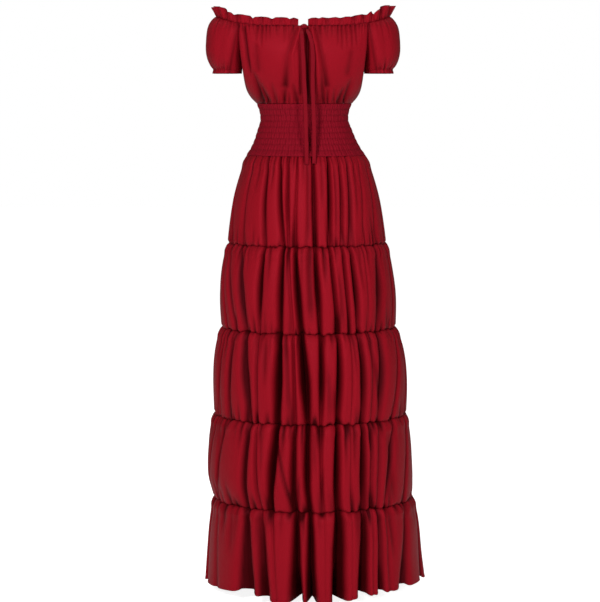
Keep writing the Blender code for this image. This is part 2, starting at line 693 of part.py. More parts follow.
def build_skirt():
    """Build the five gathered tiers, each a tube a seam's gap below the one above."""
    angles, depth, widths = fold_table()
    for number, (name, rings) in enumerate(TIER_RINGS.items()):
        top = LEVEL_Z[number] - SEAM_GAP / 2.0
        bottom = LEVEL_Z[number + 1] + SEAM_GAP / 2.0
        outer = []
        for part, half_width, shift in rings:
            here = angles[:, number] * (1.0 - part) + angles[:, number + 1] * part
            height = top + (bottom - top) * part
            depths = tier_depths(number, depth, part)
            outer.append(fold_ring(height, half_width, shift, here, depths, widths))
        inner = [ring_inset(ring, WALL) for ring in outer]
        wall_solid(name, np.array(outer), np.array(inner), True, FABRIC_COLOURS["skirt"])


# Drawstring

def smooth_route(points, count):
    """Return points evenly along a smooth curve through hand-placed ones (Catmull-Rom)."""
    route = np.array(points)
    ends = np.concatenate([2.0 * route[:1] - route[1:2], route, 2.0 * route[-1:] - route[-2:-1]])
    fine = []
    for k in range(len(route) - 1):
        p0, p1, p2, p3 = ends[k:k + 4]
        t = np.linspace(0.0, 1.0, 24, endpoint=False)[:, None]
        fine.append(0.5 * (2.0 * p1 + (p2 - p0) * t + (2.0 * p0 - 5.0 * p1 + 4.0 * p2 - p3) * t ** 2
                           + (3.0 * p1 - p0 - 3.0 * p2 + p3) * t ** 3))
    fine = np.concatenate(fine + [route[-1:]])
    lengths = np.concatenate([[0.0], np.cumsum(np.linalg.norm(np.diff(fine, axis=0), axis=1))])
    even = np.linspace(0.0, lengths[-1], count)
    return np.stack([np.interp(even, lengths, fine[:, k]) for k in range(3)], axis=1)


def build_string_end(name, points):
    """Build one free end of the neck tie as a plain tube along its route."""
    curve = bpy.data.curves.new(name, "CURVE")
    curve.dimensions = "3D"
    curve.bevel_depth = STRING_RADIUS
    curve.bevel_resolution = 2
    curve.use_fill_caps = True
    route = smooth_route(points, STRING_POINTS)
    spline = curve.splines.new("POLY")
    spline.points.add(len(route) - 1)
    for point, place in zip(spline.points, route):
        point.co = (*place, 1.0)
    spline.use_smooth = True
    curve.materials.append(cloth_material(name + "_cloth", FABRIC_COLOURS["drawstring"]))
    solid = bpy.data.objects.new(name, curve)
    bpy.context.scene.collection.objects.link(solid)


def build_knot():
    """Build the knot of the tie: a small pleated bead, wider than it is high."""
    turn = np.arange(KNOT_TURNS) * 2.0 * math.pi / KNOT_TURNS
    centre = np.array(KNOT_CENTRE)
    size = np.array(KNOT_HALF_SIZE)
    points = [centre + size * np.array([0.0, 0.0, 1.0])]
    for ring in range(1, KNOT_RINGS):
        tilt = math.pi * ring / KNOT_RINGS
        pleat = 1.0 + KNOT_PLEAT * np.cos(4.0 * turn + 2.0 * tilt)
        level = np.stack([np.sin(turn) * math.sin(tilt) * pleat,
                          -np.cos(turn) * math.sin(tilt) * pleat,
                          np.full(KNOT_TURNS, math.cos(tilt))], axis=1)
        points += list(centre + size * level)
    points.append(centre - size * np.array([0.0, 0.0, 1.0]))
    rows = [list(range(1 + r * KNOT_TURNS, 1 + (r + 1) * KNOT_TURNS)) for r in range(KNOT_RINGS - 1)]
    last = len(points) - 1
    faces = []
    for k in range(KNOT_TURNS):
        following = (k + 1) % KNOT_TURNS
        faces.append((0, rows[0][k], rows[0][following]))
        faces.append((last, rows[-1][following], rows[-1][k]))
    for top, bottom in zip(rows[:-1], rows[1:]):
        faces += band_faces(bottom, top, True)
    add_solid("drawstring_knot", points, faces, FABRIC_COLOURS["drawstring"])


def build_drawstring():
    """Build both free ends and the knot."""
    for name, points in STRING_ENDS.items():
        build_string_end(name, points)
    build_knot()


def main():
    """Build the whole gown."""
    clear_scene()
    build_bodice()
    build_sleeves()
    build_neck_frill()
    build_waistband()
    build_skirt()
    build_drawstring()


main()
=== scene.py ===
"""Full-length off-shoulder peasant gown in crimson cloth, drawn in fine detail over its solids.

Metres, +Z up, the front of the gown faces -Y, origin in the middle of the elastic neckline.
Angles round the gown are in degrees from the centre front towards +X. Each piece of cloth is a
grid of points worked out by a function of two parameters, made a thin shell by a modifier.
"""

import logging
import math
from dataclasses import dataclass, field, replace
from enum import Enum
from typing import Sequence

import bpy
import numpy as np
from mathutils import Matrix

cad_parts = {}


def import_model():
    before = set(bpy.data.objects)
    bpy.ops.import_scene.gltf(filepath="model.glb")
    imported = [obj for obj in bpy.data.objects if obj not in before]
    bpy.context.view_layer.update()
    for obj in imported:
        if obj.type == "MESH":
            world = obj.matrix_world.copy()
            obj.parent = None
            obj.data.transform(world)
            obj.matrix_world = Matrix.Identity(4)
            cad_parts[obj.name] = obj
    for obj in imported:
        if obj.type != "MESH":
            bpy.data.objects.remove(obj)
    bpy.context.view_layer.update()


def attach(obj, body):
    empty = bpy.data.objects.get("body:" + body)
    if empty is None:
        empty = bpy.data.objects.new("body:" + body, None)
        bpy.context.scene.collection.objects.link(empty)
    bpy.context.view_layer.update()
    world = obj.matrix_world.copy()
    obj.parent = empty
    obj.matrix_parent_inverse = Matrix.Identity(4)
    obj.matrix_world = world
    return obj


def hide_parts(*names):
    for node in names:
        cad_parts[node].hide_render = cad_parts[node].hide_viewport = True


LOG = logging.getLogger("gown")
WHITE = (1.0, 1.0, 1.0, 1.0)
Array = np.ndarray
Socket = bpy.types.NodeSocket


class Panel(Enum):
    """Which half of the bodice a panel covers, as the sign of its outward Y."""

    FRONT = -1.0
    BACK = 1.0


class Side(Enum):
    """A side of the wearer, as the sign of X."""

    LEFT = 1.0
    RIGHT = -1.0


# Shared helpers on arrays

def unit(vectors: Array) -> Array:
    """Return the vectors at length 1."""
    length = np.linalg.norm(vectors, axis=-1, keepdims=True)
    return vectors / np.maximum(length, 1e-12)


def turn_between(a: Array, b: Array) -> Array:
    """Return a - b in degrees, brought to -180 .. 180."""
    return (a - b + 180.0) % 360.0 - 180.0


def bell(x: Array, width: float = 1.0) -> Array:
    """Return exp(-(x / width)**2), a bell that is 1 where x is 0."""
    return np.exp(-((x / width) ** 2))


def dense_ends(rows: int, gather: float = 0.105) -> Array:
    """Return rows from 0 to 1 that lie closer together near both ends."""
    t = np.linspace(0.0, 1.0, rows)
    return t - gather * np.sin(2.0 * math.pi * t)


def from_ends(count: int) -> Array:
    """Return how many steps each of a row of places is from the nearer end."""
    place = np.arange(count)
    return np.minimum(place, place[::-1])


def lengths_along(line: Array) -> Array:
    """Return how far along a line each of its points is."""
    return np.concatenate([[0.0], np.cumsum(np.linalg.norm(np.diff(line, axis=0), axis=1))])


def read_along(line: Array, lengths: Array, at: Array) -> Array:
    """Return a line's columns read at some lengths along it."""
    return np.stack([np.interp(at, lengths, column) for column in line.T], axis=1)


def oval_points(angle: Array, half_width: Array, half_depth: Array, shift: Array,
                height: Array) -> Array:
    """Return the points (shift + a sin, -b cos, z) at angles round level ovals."""
    parts = (shift + half_width * np.sin(angle), -half_depth * np.cos(angle), height)
    return np.stack(np.broadcast_arrays(*parts), axis=-1)


def smooth_table(keys: Sequence[float], values: Sequence[float], at: Array) -> Array:
    """Read a table at any place along a smooth curve through its rows (cubic Hermite).

    Args:
        keys: rising places of the rows.
        values: one value for each row.
        at: places to read.

    Returns:
        h00 v0 + h10 d m0 + h01 v1 + h11 d m1 in each span, with slopes limited so that the
        curve never swings past its rows.
    """
    x = np.asarray(keys, float)
    y = np.asarray(values, float)
    step = np.diff(x)
    rise = np.diff(y) / step
    slope = np.concatenate([rise[:1], (rise[1:] + rise[:-1]) / 2.0, rise[-1:]])
    slope[1:-1][rise[1:] * rise[:-1] <= 0.0] = 0.0
    low = np.minimum(np.abs(rise[1:]), np.abs(rise[:-1])) * 3.0
    slope[1:-1] = np.clip(slope[1:-1], -low, low)
    k = np.clip(np.searchsorted(x, at, side="right") - 1, 0, len(x) - 2)
    t = np.clip((at - x[k]) / step[k], 0.0, 1.0)
    return ((2 * t**3 - 3 * t**2 + 1) * y[k] + (t**3 - 2 * t**2 + t) * step[k] * slope[k]
            + (3 * t**2 - 2 * t**3) * y[k + 1] + (t**3 - t**2) * step[k] * slope[k + 1])


def grid_normals(grid: Array, closed: bool) -> Array:
    """Find which way is out at every point of a grid.

    Args:
        grid: points, rows (downwards) by columns (towards +angle) by 3.
        closed: whether the last column joins the first.

    Returns:
        One unit normal for each point.
    """
    if closed:
        along = np.roll(grid, -1, axis=1) - np.roll(grid, 1, axis=1)
    else:
        along = np.gradient(grid, axis=1)
    return unit(np.cross(np.gradient(grid, axis=0), along))


def grid_quads(rows: int, columns: int, closed: bool) -> Array:
    """Join the points of a grid by quads that face outwards.

    Args:
        rows: rows of points.
        columns: points in a row.
        closed: whether the last column joins the first.

    Returns:
        Numbers of the corners, spans down by spans across by 4.
    """
    across = np.arange(columns if closed else columns - 1)
    r, c = np.meshgrid(np.arange(rows - 1), across, indexing="ij")
    after = (c + 1) % columns
    return np.stack([(r + 1) * columns + c, (r + 1) * columns + after,
                     r * columns + after, r * columns + c], axis=-1)


# Finishes

@dataclass(frozen=True)
class ClothFinish:
    """Looks of one cloth.

    Attributes:
        slot: start of the name of its material.
        colour: base colour.
        deep: colour of the faint darker mottling.
        roughness: shader roughness.
        sheen: weight of the soft nap at grazing angles.
        crumple: metres of fine crumpling in the bump.
        stitch_at: height of a stitch line above the piece's lower edge, or 0 for none.
    """

    slot: str
    colour: tuple[float, float, float]
    deep: tuple[float, float, float]
    roughness: float
    sheen: float
    crumple: float
    stitch_at: float = 0.0


GOWN = ClothFinish("bodice_cloth", (0.232, 0.0046, 0.0110), (0.198, 0.0035, 0.0086), 0.50, 0.03, 0.00035)
SKIRT = replace(GOWN, slot="skirt_cloth")
HEMMED = replace(SKIRT, stitch_at=0.006)
SMOCKED = ClothFinish("smocked_cloth", (0.200, 0.0046, 0.0125), (0.150, 0.0034, 0.0095), 0.66, 0.10,
                      0.00030)
TIE = ClothFinish("tie_cloth", (0.168, 0.0038, 0.0092), (0.140, 0.0030, 0.0076), 0.60, 0.03, 0.00015)


@dataclass
class NodeBench:
    """Adds nodes to a tree and wires them.

    Attributes:
        tree: the node tree.
    """

    tree: bpy.types.NodeTree

    def dress(self, node: bpy.types.Node, inputs: dict[object, object]) -> bpy.types.Node:
        """Set or link a node's inputs.

        Args:
            node: the node.
            inputs: a value or another node's socket for each input, by name or number.

        Returns:
            The same node.
        """
        for key, value in inputs.items():
            if isinstance(value, Socket):
                self.tree.links.new(value, node.inputs[key])
            else:
                node.inputs[key].default_value = value
        return node

    def add(self, kind: str, inputs: dict[object, object]) -> bpy.types.Node:
        """Return a new node of a kind with its inputs set or linked."""
        return self.dress(self.tree.nodes.new(kind), inputs)

    def maths(self, operation: str, *values: object) -> Socket:
        """Work out one step of a sum.

        Args:
            operation: name of the operation.
            *values: one or two numbers or sockets.

        Returns:
            The socket of the result.
        """
        node = self.add("ShaderNodeMath", dict(enumerate(values)))
        node.operation = operation
        return node.outputs[0]

    def blend(self, share: Socket, first: object, second: object) -> Socket:
        """Mix two colours.

        Args:
            share: how much of the second there is.
            first: a colour or a socket.
            second: a colour or a socket.

        Returns:
            The socket of the mixed colour.
        """
        node = self.tree.nodes.new("ShaderNodeMix")
        node.data_type = "RGBA"
        return self.dress(node, {"Factor": share, "A": first, "B": second}).outputs["Result"]

    def noise(self, place: Socket, scale: float, detail: float, stretch: float) -> Socket:
        """Add a cloudy pattern.

        Args:
            place: socket of the place on the cloth in metres.
            scale: clouds to a metre.
            detail: octaves of finer cloud.
            stretch: clouds to a metre along the cloth as a share of those across.

        Returns:
            The socket of its height, 0 to 1.
        """
        scales = (scale, scale * stretch, 1.0)
        mapping = self.add("ShaderNodeMapping", {"Scale": scales, "Vector": place})
        node = self.add("ShaderNodeTexNoise", {"Scale": 1.0, "Detail": detail,
                                               "Vector": mapping.outputs[0]})
        return node.outputs["Fac"]


@dataclass
class ClothShader:
    """Builds the cloth materials from one shared node group.

    Attributes:
        group_name: name of the shared group.
        weave_pitch: metres between threads.
        weave_height: metres that the threads stand up.
        mottle: share of the deep colour at the darkest clouds.
        stitch_line: half width of a line of stitches.
        stitch_height: metres that a stitch stands up.
        stitch_pitch: metres from stitch to stitch.
        painted_shade_share: share of the painted shade colour at the foot of a fold.
        painted_shade_colour: colour of the painted shade that the cloth darkens to there.
        gloss: specular level.
        gloss_tint: colour of the highlights.
        sheen_tint: colour of the nap.
        made: the materials made so far.
    """

    group_name: str = "woven_cloth"
    weave_pitch: float = 0.0007
    weave_height: float = 0.00002
    mottle: float = 0.9
    stitch_line: float = 0.0005
    stitch_height: float = 0.0003
    stitch_pitch: float = 0.0032
    painted_shade_share: float = 0.90
    painted_shade_colour: tuple[float, ...] = (0.016, 0.0006, 0.0008, 1.0)
    gloss: float = 0.16
    gloss_tint: tuple[float, ...] = (0.90, 0.10, 0.16, 1.0)
    sheen_tint: tuple[float, ...] = (0.60, 0.02, 0.04, 1.0)
    made: dict[ClothFinish, bpy.types.Material] = field(default_factory=dict)

    def group(self) -> bpy.types.NodeTree:
        """Make the node group that mottles, weaves, crumples and stitches the cloth and paints shade into
        it, once.

        Height = weave * sin(2 pi u / pitch) sin(2 pi v / pitch) + crumple * noise(u, v), with
        u and v in metres on the cloth. The stitch line is a row of short dashes at one v. Painted
        shade darkens the colour in folds, gathers and seams by the mesh's painted shade attribute.

        Returns:
            The group.
        """
        if self.group_name in bpy.data.node_groups:
            return bpy.data.node_groups[self.group_name]
        tree = bpy.data.node_groups.new(self.group_name, "ShaderNodeTree")
        for name, kind, way in (("Colour", "Color", "INPUT"), ("Deep", "Color", "INPUT"),
                                ("Crumple", "Float", "INPUT"), ("Stitch", "Float", "INPUT"),
                                ("Base Color", "Color", "OUTPUT"), ("Height", "Float", "OUTPUT")):
            tree.interface.new_socket(name, in_out=way, socket_type=f"NodeSocket{kind}")
        bench = NodeBench(tree)
        maths = bench.maths
        given = tree.nodes.new("NodeGroupInput").outputs
        uv_map = tree.nodes.new("ShaderNodeUVMap")
        uv_map.uv_map = "cloth"
        place = uv_map.outputs["UV"]
        u, v, _ = bench.add("ShaderNodeSeparateXYZ", {0: place}).outputs
        warp, weft = (maths("SINE", maths("MULTIPLY", way, 2.0 * math.pi / self.weave_pitch))
                      for way in (u, v))
        weave = maths("MULTIPLY", maths("MULTIPLY", warp, weft), self.weave_height)
        creased = maths("MULTIPLY", bench.noise(place, 60.0, 3.0, 0.45), given["Crumple"])
        off_line = maths("ABSOLUTE", maths("SUBTRACT", v, given["Stitch"]))
        on_line = maths("LESS_THAN", off_line, self.stitch_line)
        dash = maths("LESS_THAN", maths("FRACT", maths("DIVIDE", u, self.stitch_pitch)), 0.6)
        sewn = maths("GREATER_THAN", given["Stitch"], self.stitch_line)
        stitch = maths("MULTIPLY", maths("MULTIPLY", on_line, dash), sewn)
        raised = maths("MULTIPLY", stitch, self.stitch_height)
        tone = maths("MULTIPLY", bench.noise(place, 9.0, 2.0, 0.6), self.mottle)
        mottled = bench.blend(maths("MAXIMUM", tone, stitch), given["Colour"], given["Deep"])
        # Painted shade: the mesh's attribute mixes the colour towards a near-black red in folds, gathers
        # and seams.
        hollow = tree.nodes.new("ShaderNodeAttribute")
        hollow.attribute_name = "hollow"
        dark = maths("MULTIPLY", hollow.outputs["Fac"], self.painted_shade_share)
        bench.add("NodeGroupOutput", {"Height": maths("ADD", maths("ADD", weave, creased), raised),
                                      "Base Color": bench.blend(dark, mottled, self.painted_shade_colour)})
        return tree

    def material(self, finish: ClothFinish) -> bpy.types.Material:
        """Make the material of a finish, once.

        Args:
            finish: looks of the cloth.

        Returns:
            Its material.
        """
        if finish in self.made:
            return self.made[finish]
        material = bpy.data.materials.new(f"{finish.slot}_{len(self.made)}")
        material.use_nodes = True
        bench = NodeBench(material.node_tree)
        cloth = bench.tree.nodes.new("ShaderNodeGroup")
        cloth.node_tree = self.group()
        bench.dress(cloth, {"Colour": (*finish.colour, 1.0), "Deep": (*finish.deep, 1.0),
                            "Crumple": finish.crumple, "Stitch": finish.stitch_at})
        bump = bench.add("ShaderNodeBump", {"Distance": 1.0, "Height": cloth.outputs["Height"]})
        bench.dress(bench.tree.nodes["Principled BSDF"], {
            "Base Color": cloth.outputs["Base Color"], "Normal": bump.outputs["Normal"],
            "Roughness": finish.roughness, "Sheen Weight": finish.sheen, "Sheen Roughness": 0.5,
            "Sheen Tint": self.sheen_tint, "Specular IOR Level": self.gloss,
            "Specular Tint": self.gloss_tint})
        self.made[finish] = material
        return material


SHADER = ClothShader()


# Meshes

def write_painted_shade(mesh: bpy.types.Mesh, hollow: Array) -> None:
    """Store how strongly painted shade darkens each point, 0 to 1, most in folds and seams."""
    layer = mesh.attributes.new("hollow", "FLOAT", "POINT")
    layer.data.foreach_set("value", np.clip(hollow, 0.0, 1.0).reshape(-1).astype(np.float32))


def capped_mesh(name: str, rings: Array, ends: Array, hollow: Array) -> bpy.types.Mesh:
    """Make rings of points a smooth closed mesh with a fan of triangles at each end.

    Args:
        name: mesh name.
        rings: rings by points by 3.
        ends: the middle of the first fan and of the last.
        hollow: how strongly painted shade darkens each point, ring by ring, and then both ends.

    Returns:
        The mesh, with a UV map in metres from its front view.
    """
    count, around = rings.shape[:2]
    points = np.concatenate([rings.reshape(-1, 3), ends])
    base = (count - 1) * around
    faces = grid_quads(count, around, True).reshape(-1, 4).tolist()
    for k in range(around):
        after = (k + 1) % around
        faces += [(count * around, k, after), (count * around + 1, base + after, base + k)]
    mesh = bpy.data.meshes.new(name)
    mesh.from_pydata(points.tolist(), [], faces)
    mesh.polygons.foreach_set("use_smooth", np.ones(len(faces), dtype=bool))
    corner = np.zeros(len(mesh.loops), dtype=np.int32)
    mesh.loops.foreach_get("vertex_index", corner)
    mesh.uv_layers.new(name="cloth").data.foreach_set("uv", points[corner][:, [0, 2]].reshape(-1))
    write_painted_shade(mesh, hollow)
    mesh.validate()
    mesh.update()
    return mesh


@dataclass
class ClothGrid:
    """A grid of points on the outer face of one piece of cloth.

    Attributes:
        points: rows (downwards) by columns (towards +angle) by 3.
        closed: whether the last column joins the first.
        flat: width and length of the flat cut in metres.
        hollow: how strongly painted shade darkens each point, 0 to 1, rows by columns.
    """

    points: Array
    closed: bool
    flat: tuple[float, float]
    hollow: Array

    def mesh(self, name: str) -> bpy.types.Mesh:
        """Make the grid a mesh of quads.

        Args:
            name: mesh name.

        Returns:
            The mesh, with a UV map in metres on the flat cloth.
        """
        rows, columns = self.points.shape[:2]
        quads = grid_quads(rows, columns, self.closed)
        count, spans = quads.size // 4, quads.shape[1]
        mesh = bpy.data.meshes.new(name)
        mesh.vertices.add(rows * columns)
        mesh.vertices.foreach_set("co", self.points.reshape(-1))
        mesh.loops.add(quads.size)
        mesh.loops.foreach_set("vertex_index", quads.reshape(-1).astype(np.int32))
        mesh.polygons.add(count)
        mesh.polygons.foreach_set("loop_start", np.arange(0, quads.size, 4, dtype=np.int32))
        mesh.polygons.foreach_set("use_smooth", np.ones(count, dtype=bool))
        width, length = self.flat
        u = (np.arange(spans)[:, None] + np.array([0, 1, 1, 0])) * (width / spans)
        fall = np.linalg.norm(np.diff(self.points, axis=0), axis=2).mean(axis=1)
        height = length * (1.0 - np.concatenate([[0.0], np.cumsum(fall)]) / fall.sum())
        uv = np.stack(np.broadcast_arrays(u, height[quads // columns]), axis=-1)
        layer = mesh.uv_layers.new(name="cloth")
        layer.data.foreach_set("uv", uv.reshape(-1).astype(np.float32))
        write_painted_shade(mesh, np.broadcast_to(self.hollow, (rows, columns)))
        mesh.update(calc_edges=True)
        mesh.validate()
        return mesh


def add_piece(name: str, mesh: bpy.types.Mesh, finish: ClothFinish, node: str) -> bpy.types.Object:
    """Add a piece in place of a CAD node, riding the gown's one body.

    Args:
        name: the new object's name.
        mesh: its mesh, in the gown's own place.
        finish: looks of its cloth.
        node: CAD node that it takes the place of.

    Returns:
        The new object.
    """
    piece = bpy.data.objects.new(name, mesh)
    bpy.context.scene.collection.objects.link(piece)
    mesh.materials.append(SHADER.material(finish))
    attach(piece, "root")
    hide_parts(node)
    LOG.info("%s: %d faces", name, len(mesh.polygons))
    return piece


def add_cloth(name: str, grid: ClothGrid, finish: ClothFinish, node: str,
              thickness: float = 0.0010) -> None:
    """Add a gathered piece of cloth as a thin shell inside its grid.

    Args:
        name: the new object's name.
        grid: its outer face.
        finish: looks of its cloth.
        node: CAD node that it takes the place of.
        thickness: thickness of the shell in metres.
    """
    piece = add_piece(name, grid.mesh(name), finish, node)
    shell = piece.modifiers.new("shell", "SOLIDIFY")
    shell.thickness = thickness
    shell.offset = -1.0
    shell.use_even_offset = False


# Creases

@dataclass(frozen=True)
class Crease:
    """A soft trough (or ridge, if its depth is negative) between two points of a view.

    Attributes:
        start: across and up, in metres, where it begins.
        end: where it dies away.
        half_width: metres.
        depth: metres at the start.
        end_depth: metres at the end.
    """

    start: tuple[float, float]
    end: tuple[float, float]
    half_width: float
    depth: float
    end_depth: float = 0.0

    def depth_at(self, across: Array, up: Array) -> Array:
        """Work out depth(t) * exp(-(d / half_width)**1.5), d being the distance from its line.

        depth(t) = depth + (end_depth - depth) t**1.6, t going from 0 at its start to 1.

        Args:
            across: places across the view.
            up: places up it.

        Returns:
            Metres of depth at each place.
        """
        ax, az = self.start
        dx, dz = self.end[0] - ax, self.end[1] - az
        along = ((across - ax) * dx + (up - az) * dz) / (dx * dx + dz * dz)
        t = np.clip(along, 0.0, 1.0)
        apart = np.hypot(across - ax - t * dx, up - az - t * dz)
        depth = self.depth + (self.end_depth - self.depth) * t ** 1.6
        return depth * np.exp(-((apart / self.half_width) ** 1.5))


def creases_from_rows(rows: Sequence[Sequence[float]], mirror: float) -> list[Crease]:
    """Make creases of rows of numbers.

    Args:
        rows: x_start, z_start, x_end, z_end, half_width, depth and, unless 0, end_depth, in mm.
        mirror: factor on the places across.

    Returns:
        One crease for each row.
    """
    made = []
    for row in rows:
        xs, zs, xe, ze, *sizes = (value / 1000.0 for value in row)
        made.append(Crease((xs * mirror, zs), (xe * mirror, ze), *sizes))
    return made


# Neckline and armholes

@dataclass(frozen=True)
class Neckline:
    """The elastic neckline: a rounded ring round both upper arms, dipped at front and back."""

    half_width: float = 0.201
    half_depth: float = 0.105
    squareness: float = 2.4
    dip_front: float = 0.024
    dip_back: float = 0.034
    notch_width: float = 0.022
    armhole_top_x: float = 0.147
    underarm_x: float = 0.139
    underarm_z: float = -0.088
    samples: int = 4001

    def curve(self) -> tuple[Array, Array]:
        """Sample the right half finely, front to back.

        x = A |sin t|**(2/n), y = -B |cos t|**(2/n), z = -dip (1 - (x/A)**4).

        Returns:
            The samples and their lengths along it.
        """
        turn = np.linspace(0.0, math.pi, self.samples)
        power = 2.0 / self.squareness
        across = self.half_width * np.abs(np.sin(turn)) ** power
        forward = -self.half_depth * np.sign(np.cos(turn)) * np.abs(np.cos(turn)) ** power
        dip = np.where(forward < 0.0, self.dip_front, self.dip_back)
        height = -dip * (1.0 - (across / self.half_width) ** 4)
        samples = np.stack([across, forward, height], axis=1)
        return samples, lengths_along(samples)

    def place(self, across: float, panel: Panel) -> float:
        """Find a place on the right half.

        Args:
            across: its distance from the middle.
            panel: whether it is in front or behind.

        Returns:
            Its length along the neckline from the centre front.
        """
        curve, length = self.curve()
        half = int(np.argmax(curve[:, 0]))
        if panel is Panel.BACK:
            return float(np.interp(-across, -curve[half:, 0], length[half:]))
        return float(np.interp(across, curve[:half, 0], length[:half]))

    def armhole_top(self, panel: Panel) -> float:
        """Return the length along the neckline where a panel's armhole seam meets it."""
        return self.place(self.armhole_top_x, panel)

    def back_centre(self) -> float:
        """Return the length from the centre front to the centre back."""
        return float(self.curve()[1][-1])

    def points(self, lengths: Array) -> tuple[Array, Array]:
        """Read the neckline at signed lengths from the centre front.

        Args:
            lengths: metres, above 0 towards +X.

        Returns:
            The points and their level outward normals.
        """
        curve, length = self.curve()
        side = np.where(lengths < 0.0, -1.0, 1.0)
        reach = np.abs(lengths)
        point = read_along(curve, length, reach)
        along = read_along(np.gradient(curve, axis=0), length, reach)
        normal = unit(np.stack([along[:, 1], -along[:, 0], np.zeros(len(reach))], axis=1))
        point[:, 0] *= side
        normal[:, 0] *= side
        return point, normal

    def armhole(self, part: Array, panel: Panel) -> Array:
        """Follow the left armhole seam up a quarter of an ellipse.

        Args:
            part: 0 at the underarm to 1 at the neckline.
            panel: the panel that it belongs to.

        Returns:
            One point for each part.
        """
        top = self.points(np.array([self.armhole_top(panel)]))[0][0]
        turn = part * math.pi / 2.0
        rise = 1.0 - np.cos(turn)
        across = self.underarm_x + (top[0] - self.underarm_x) * rise
        height = self.underarm_z + (top[2] - self.underarm_z) * rise
        return np.stack([across, top[1] * np.sin(turn), height], axis=1)


NECK = Neckline()


# Waistband shape, shared with the bodice

WAISTBAND_TABLE = (
    # z, half_width, half_depth, shift
    (-0.2003, 0.11, 0.0895, 0.003),
    (-0.214, 0.1045, 0.086, 0.003),
    (-0.235, 0.1015, 0.0835, 0.0032),
    (-0.26, 0.109, 0.0895, 0.0042),
    (-0.283, 0.1175, 0.0965, 0.0055),
    (-0.306, 0.129, 0.106, 0.0065),
    (-0.3187, 0.138, 0.1145, 0.0068),
)


def waist_oval(height: Array) -> tuple[Array, ...]:
    """Return half width, half depth and shift of the waistband's oval at each height."""
    table = np.array(WAISTBAND_TABLE)
    return tuple(smooth_table(-table[:, 0], table[:, k], -height) for k in (1, 2, 3))


@dataclass
class Waistband:
    """The smocked waistband: rows of elastic shirring with puckered cloth between them."""

    rows: int = 9
    raise_by: float = 0.0014
    pucker: float = 0.0012
    puckers: int = 104
    wide_puckers: float = 0.57
    stray: float = 0.9
    wander: float = 0.0009
    line_dark: float = 0.36
    line_reach: float = 0.13
    pucker_dark: float = 0.24
    columns: int = 560
    steps_per_row: int = 8
    flat: tuple[float, float] = (0.87, 0.138)
    seed: int = 7

    def grid(self) -> ClothGrid:
        """Work out the puckered surface.

        out = raise * |sin(pi rows q)|**0.6 + pucker * (wave + 0.6 wide wave), q going from 0 at the
        top to 1; both are less at the sides, beside the elastic and at the two edges. Painted shade
        darkens the cloth at each line of elastic and between the puckers.

        Returns:
            The waistband's outer face.
        """
        chance = np.random.default_rng(self.seed)
        q = np.linspace(0.0, 1.0, self.rows * self.steps_per_row + 1)[:, None]
        angle = np.radians(np.linspace(0.0, 360.0, self.columns, endpoint=False)[None, :])
        top, bottom = WAISTBAND_TABLE[0][0], WAISTBAND_TABLE[-1][0]
        height = top + (bottom - top) * q
        half_width, half_depth, shift = waist_oval(height)
        row = np.minimum((q * self.rows).astype(int), self.rows - 1)
        slip = chance.uniform(0.0, 2.0 * math.pi, self.rows)[row]
        wave = np.cos(angle * self.puckers + (self.stray * np.sin(angle * 11.0 + slip * 2.0) + slip))
        puckers = wave + 0.6 * np.cos(angle * (self.puckers * self.wide_puckers) + 1.7 * slip)
        puff = np.abs(np.sin(math.pi * self.rows * q)) ** 0.6
        facing = 0.35 + 0.65 * np.cos(angle) ** 2
        out = self.raise_by * puff * facing + self.pucker * facing * (0.35 + 0.65 * puff) * puckers
        from_edge = np.minimum(q, 1.0 - q)
        out = out * np.clip(from_edge * 60.0, 0.25, 1.0)
        height = height + self.wander * np.sin(angle * 23.0 + slip) * puff
        points = oval_points(angle, half_width + out, half_depth + out, shift, height)
        beside = np.minimum((q * self.rows) % 1.0, 1.0 - (q * self.rows) % 1.0)
        edge = np.clip(from_edge * 2.0 * self.rows, 0.3, 1.0)
        # Painted shade along each line of elastic and in the troughs between the puckers.
        hollow = self.line_dark * edge * bell(beside, self.line_reach) * (0.75 - 0.25 * wave)
        hollow = hollow + self.pucker_dark * np.clip(-puckers / 1.6, 0.0, 1.0) * puff
        return ClothGrid(points, True, self.flat, hollow)

    def build(self) -> None:
        """Build the waistband."""
        add_cloth("waistband_shirred", self.grid(), SMOCKED, "waistband_smocked")


# Bodice

FRONT_CREASES = (
    # x_start, z_start, x_end, z_end, half_width, depth and, unless 0, end_depth, in mm
    (-93, -198, -118, -118, 6, 6), (-79, -198, -108, -140, 5, 5), (-62, -198, -74, -150, 4.5, 3),
    (-44, -198, -40, -148, 5, 4.5), (-30, -198, -33, -165, 3, 2), (-14, -198, -24, -150, 4.5, 4.5),
    (1, -198, -3, -160, 3.5, 3), (14, -198, 13, -140, 4, 3.5), (30, -198, 32, -160, 3.5, 2.5),
    (47, -198, 42, -95, 5, 4.5), (57, -198, 55, -145, 4, 3.5), (70, -198, 74, -160, 3.5, 2.5),
    (81, -198, 98, -158, 5, 5), (94, -198, 113, -138, 5, 5), (-104, -24, -108, -66, 3.2, 2.6),
    (-93, -25, -96, -78, 3.2, 2.8), (-84, -25, -86, -62, 2.8, 2.2), (-75, -25, -76, -58, 2.8, 2),
    (-58, -25, -60, -50, 3, 1.5), (-40, -25, -42, -64, 3, 1.8), (-22, -25, -34, -72, 3.6, 2.6),
    (36, -25, 44, -74, 3.6, 2.6), (52, -25, 56, -56, 3, 1.8), (66, -25, 67, -52, 3, 1.6),
    (79, -25, 80, -70, 3, 2.4), (88, -25, 90, -82, 3.2, 2.6), (99, -25, 101, -76, 3, 2.4),
    (111, -24, 113, -84, 3.2, 2.6), (120, -24, 123, -72, 3, 2.4), (-134, -28, -127, -96, 3.2, 4.6, 5),
    (-127, -96, -121, -130, 3.4, 5, 2.5), (-108, -70, -104, -120, 7, 1.6, 2.2),
    (112, -84, 104, -130, 7, 1.6, 2.2),
)
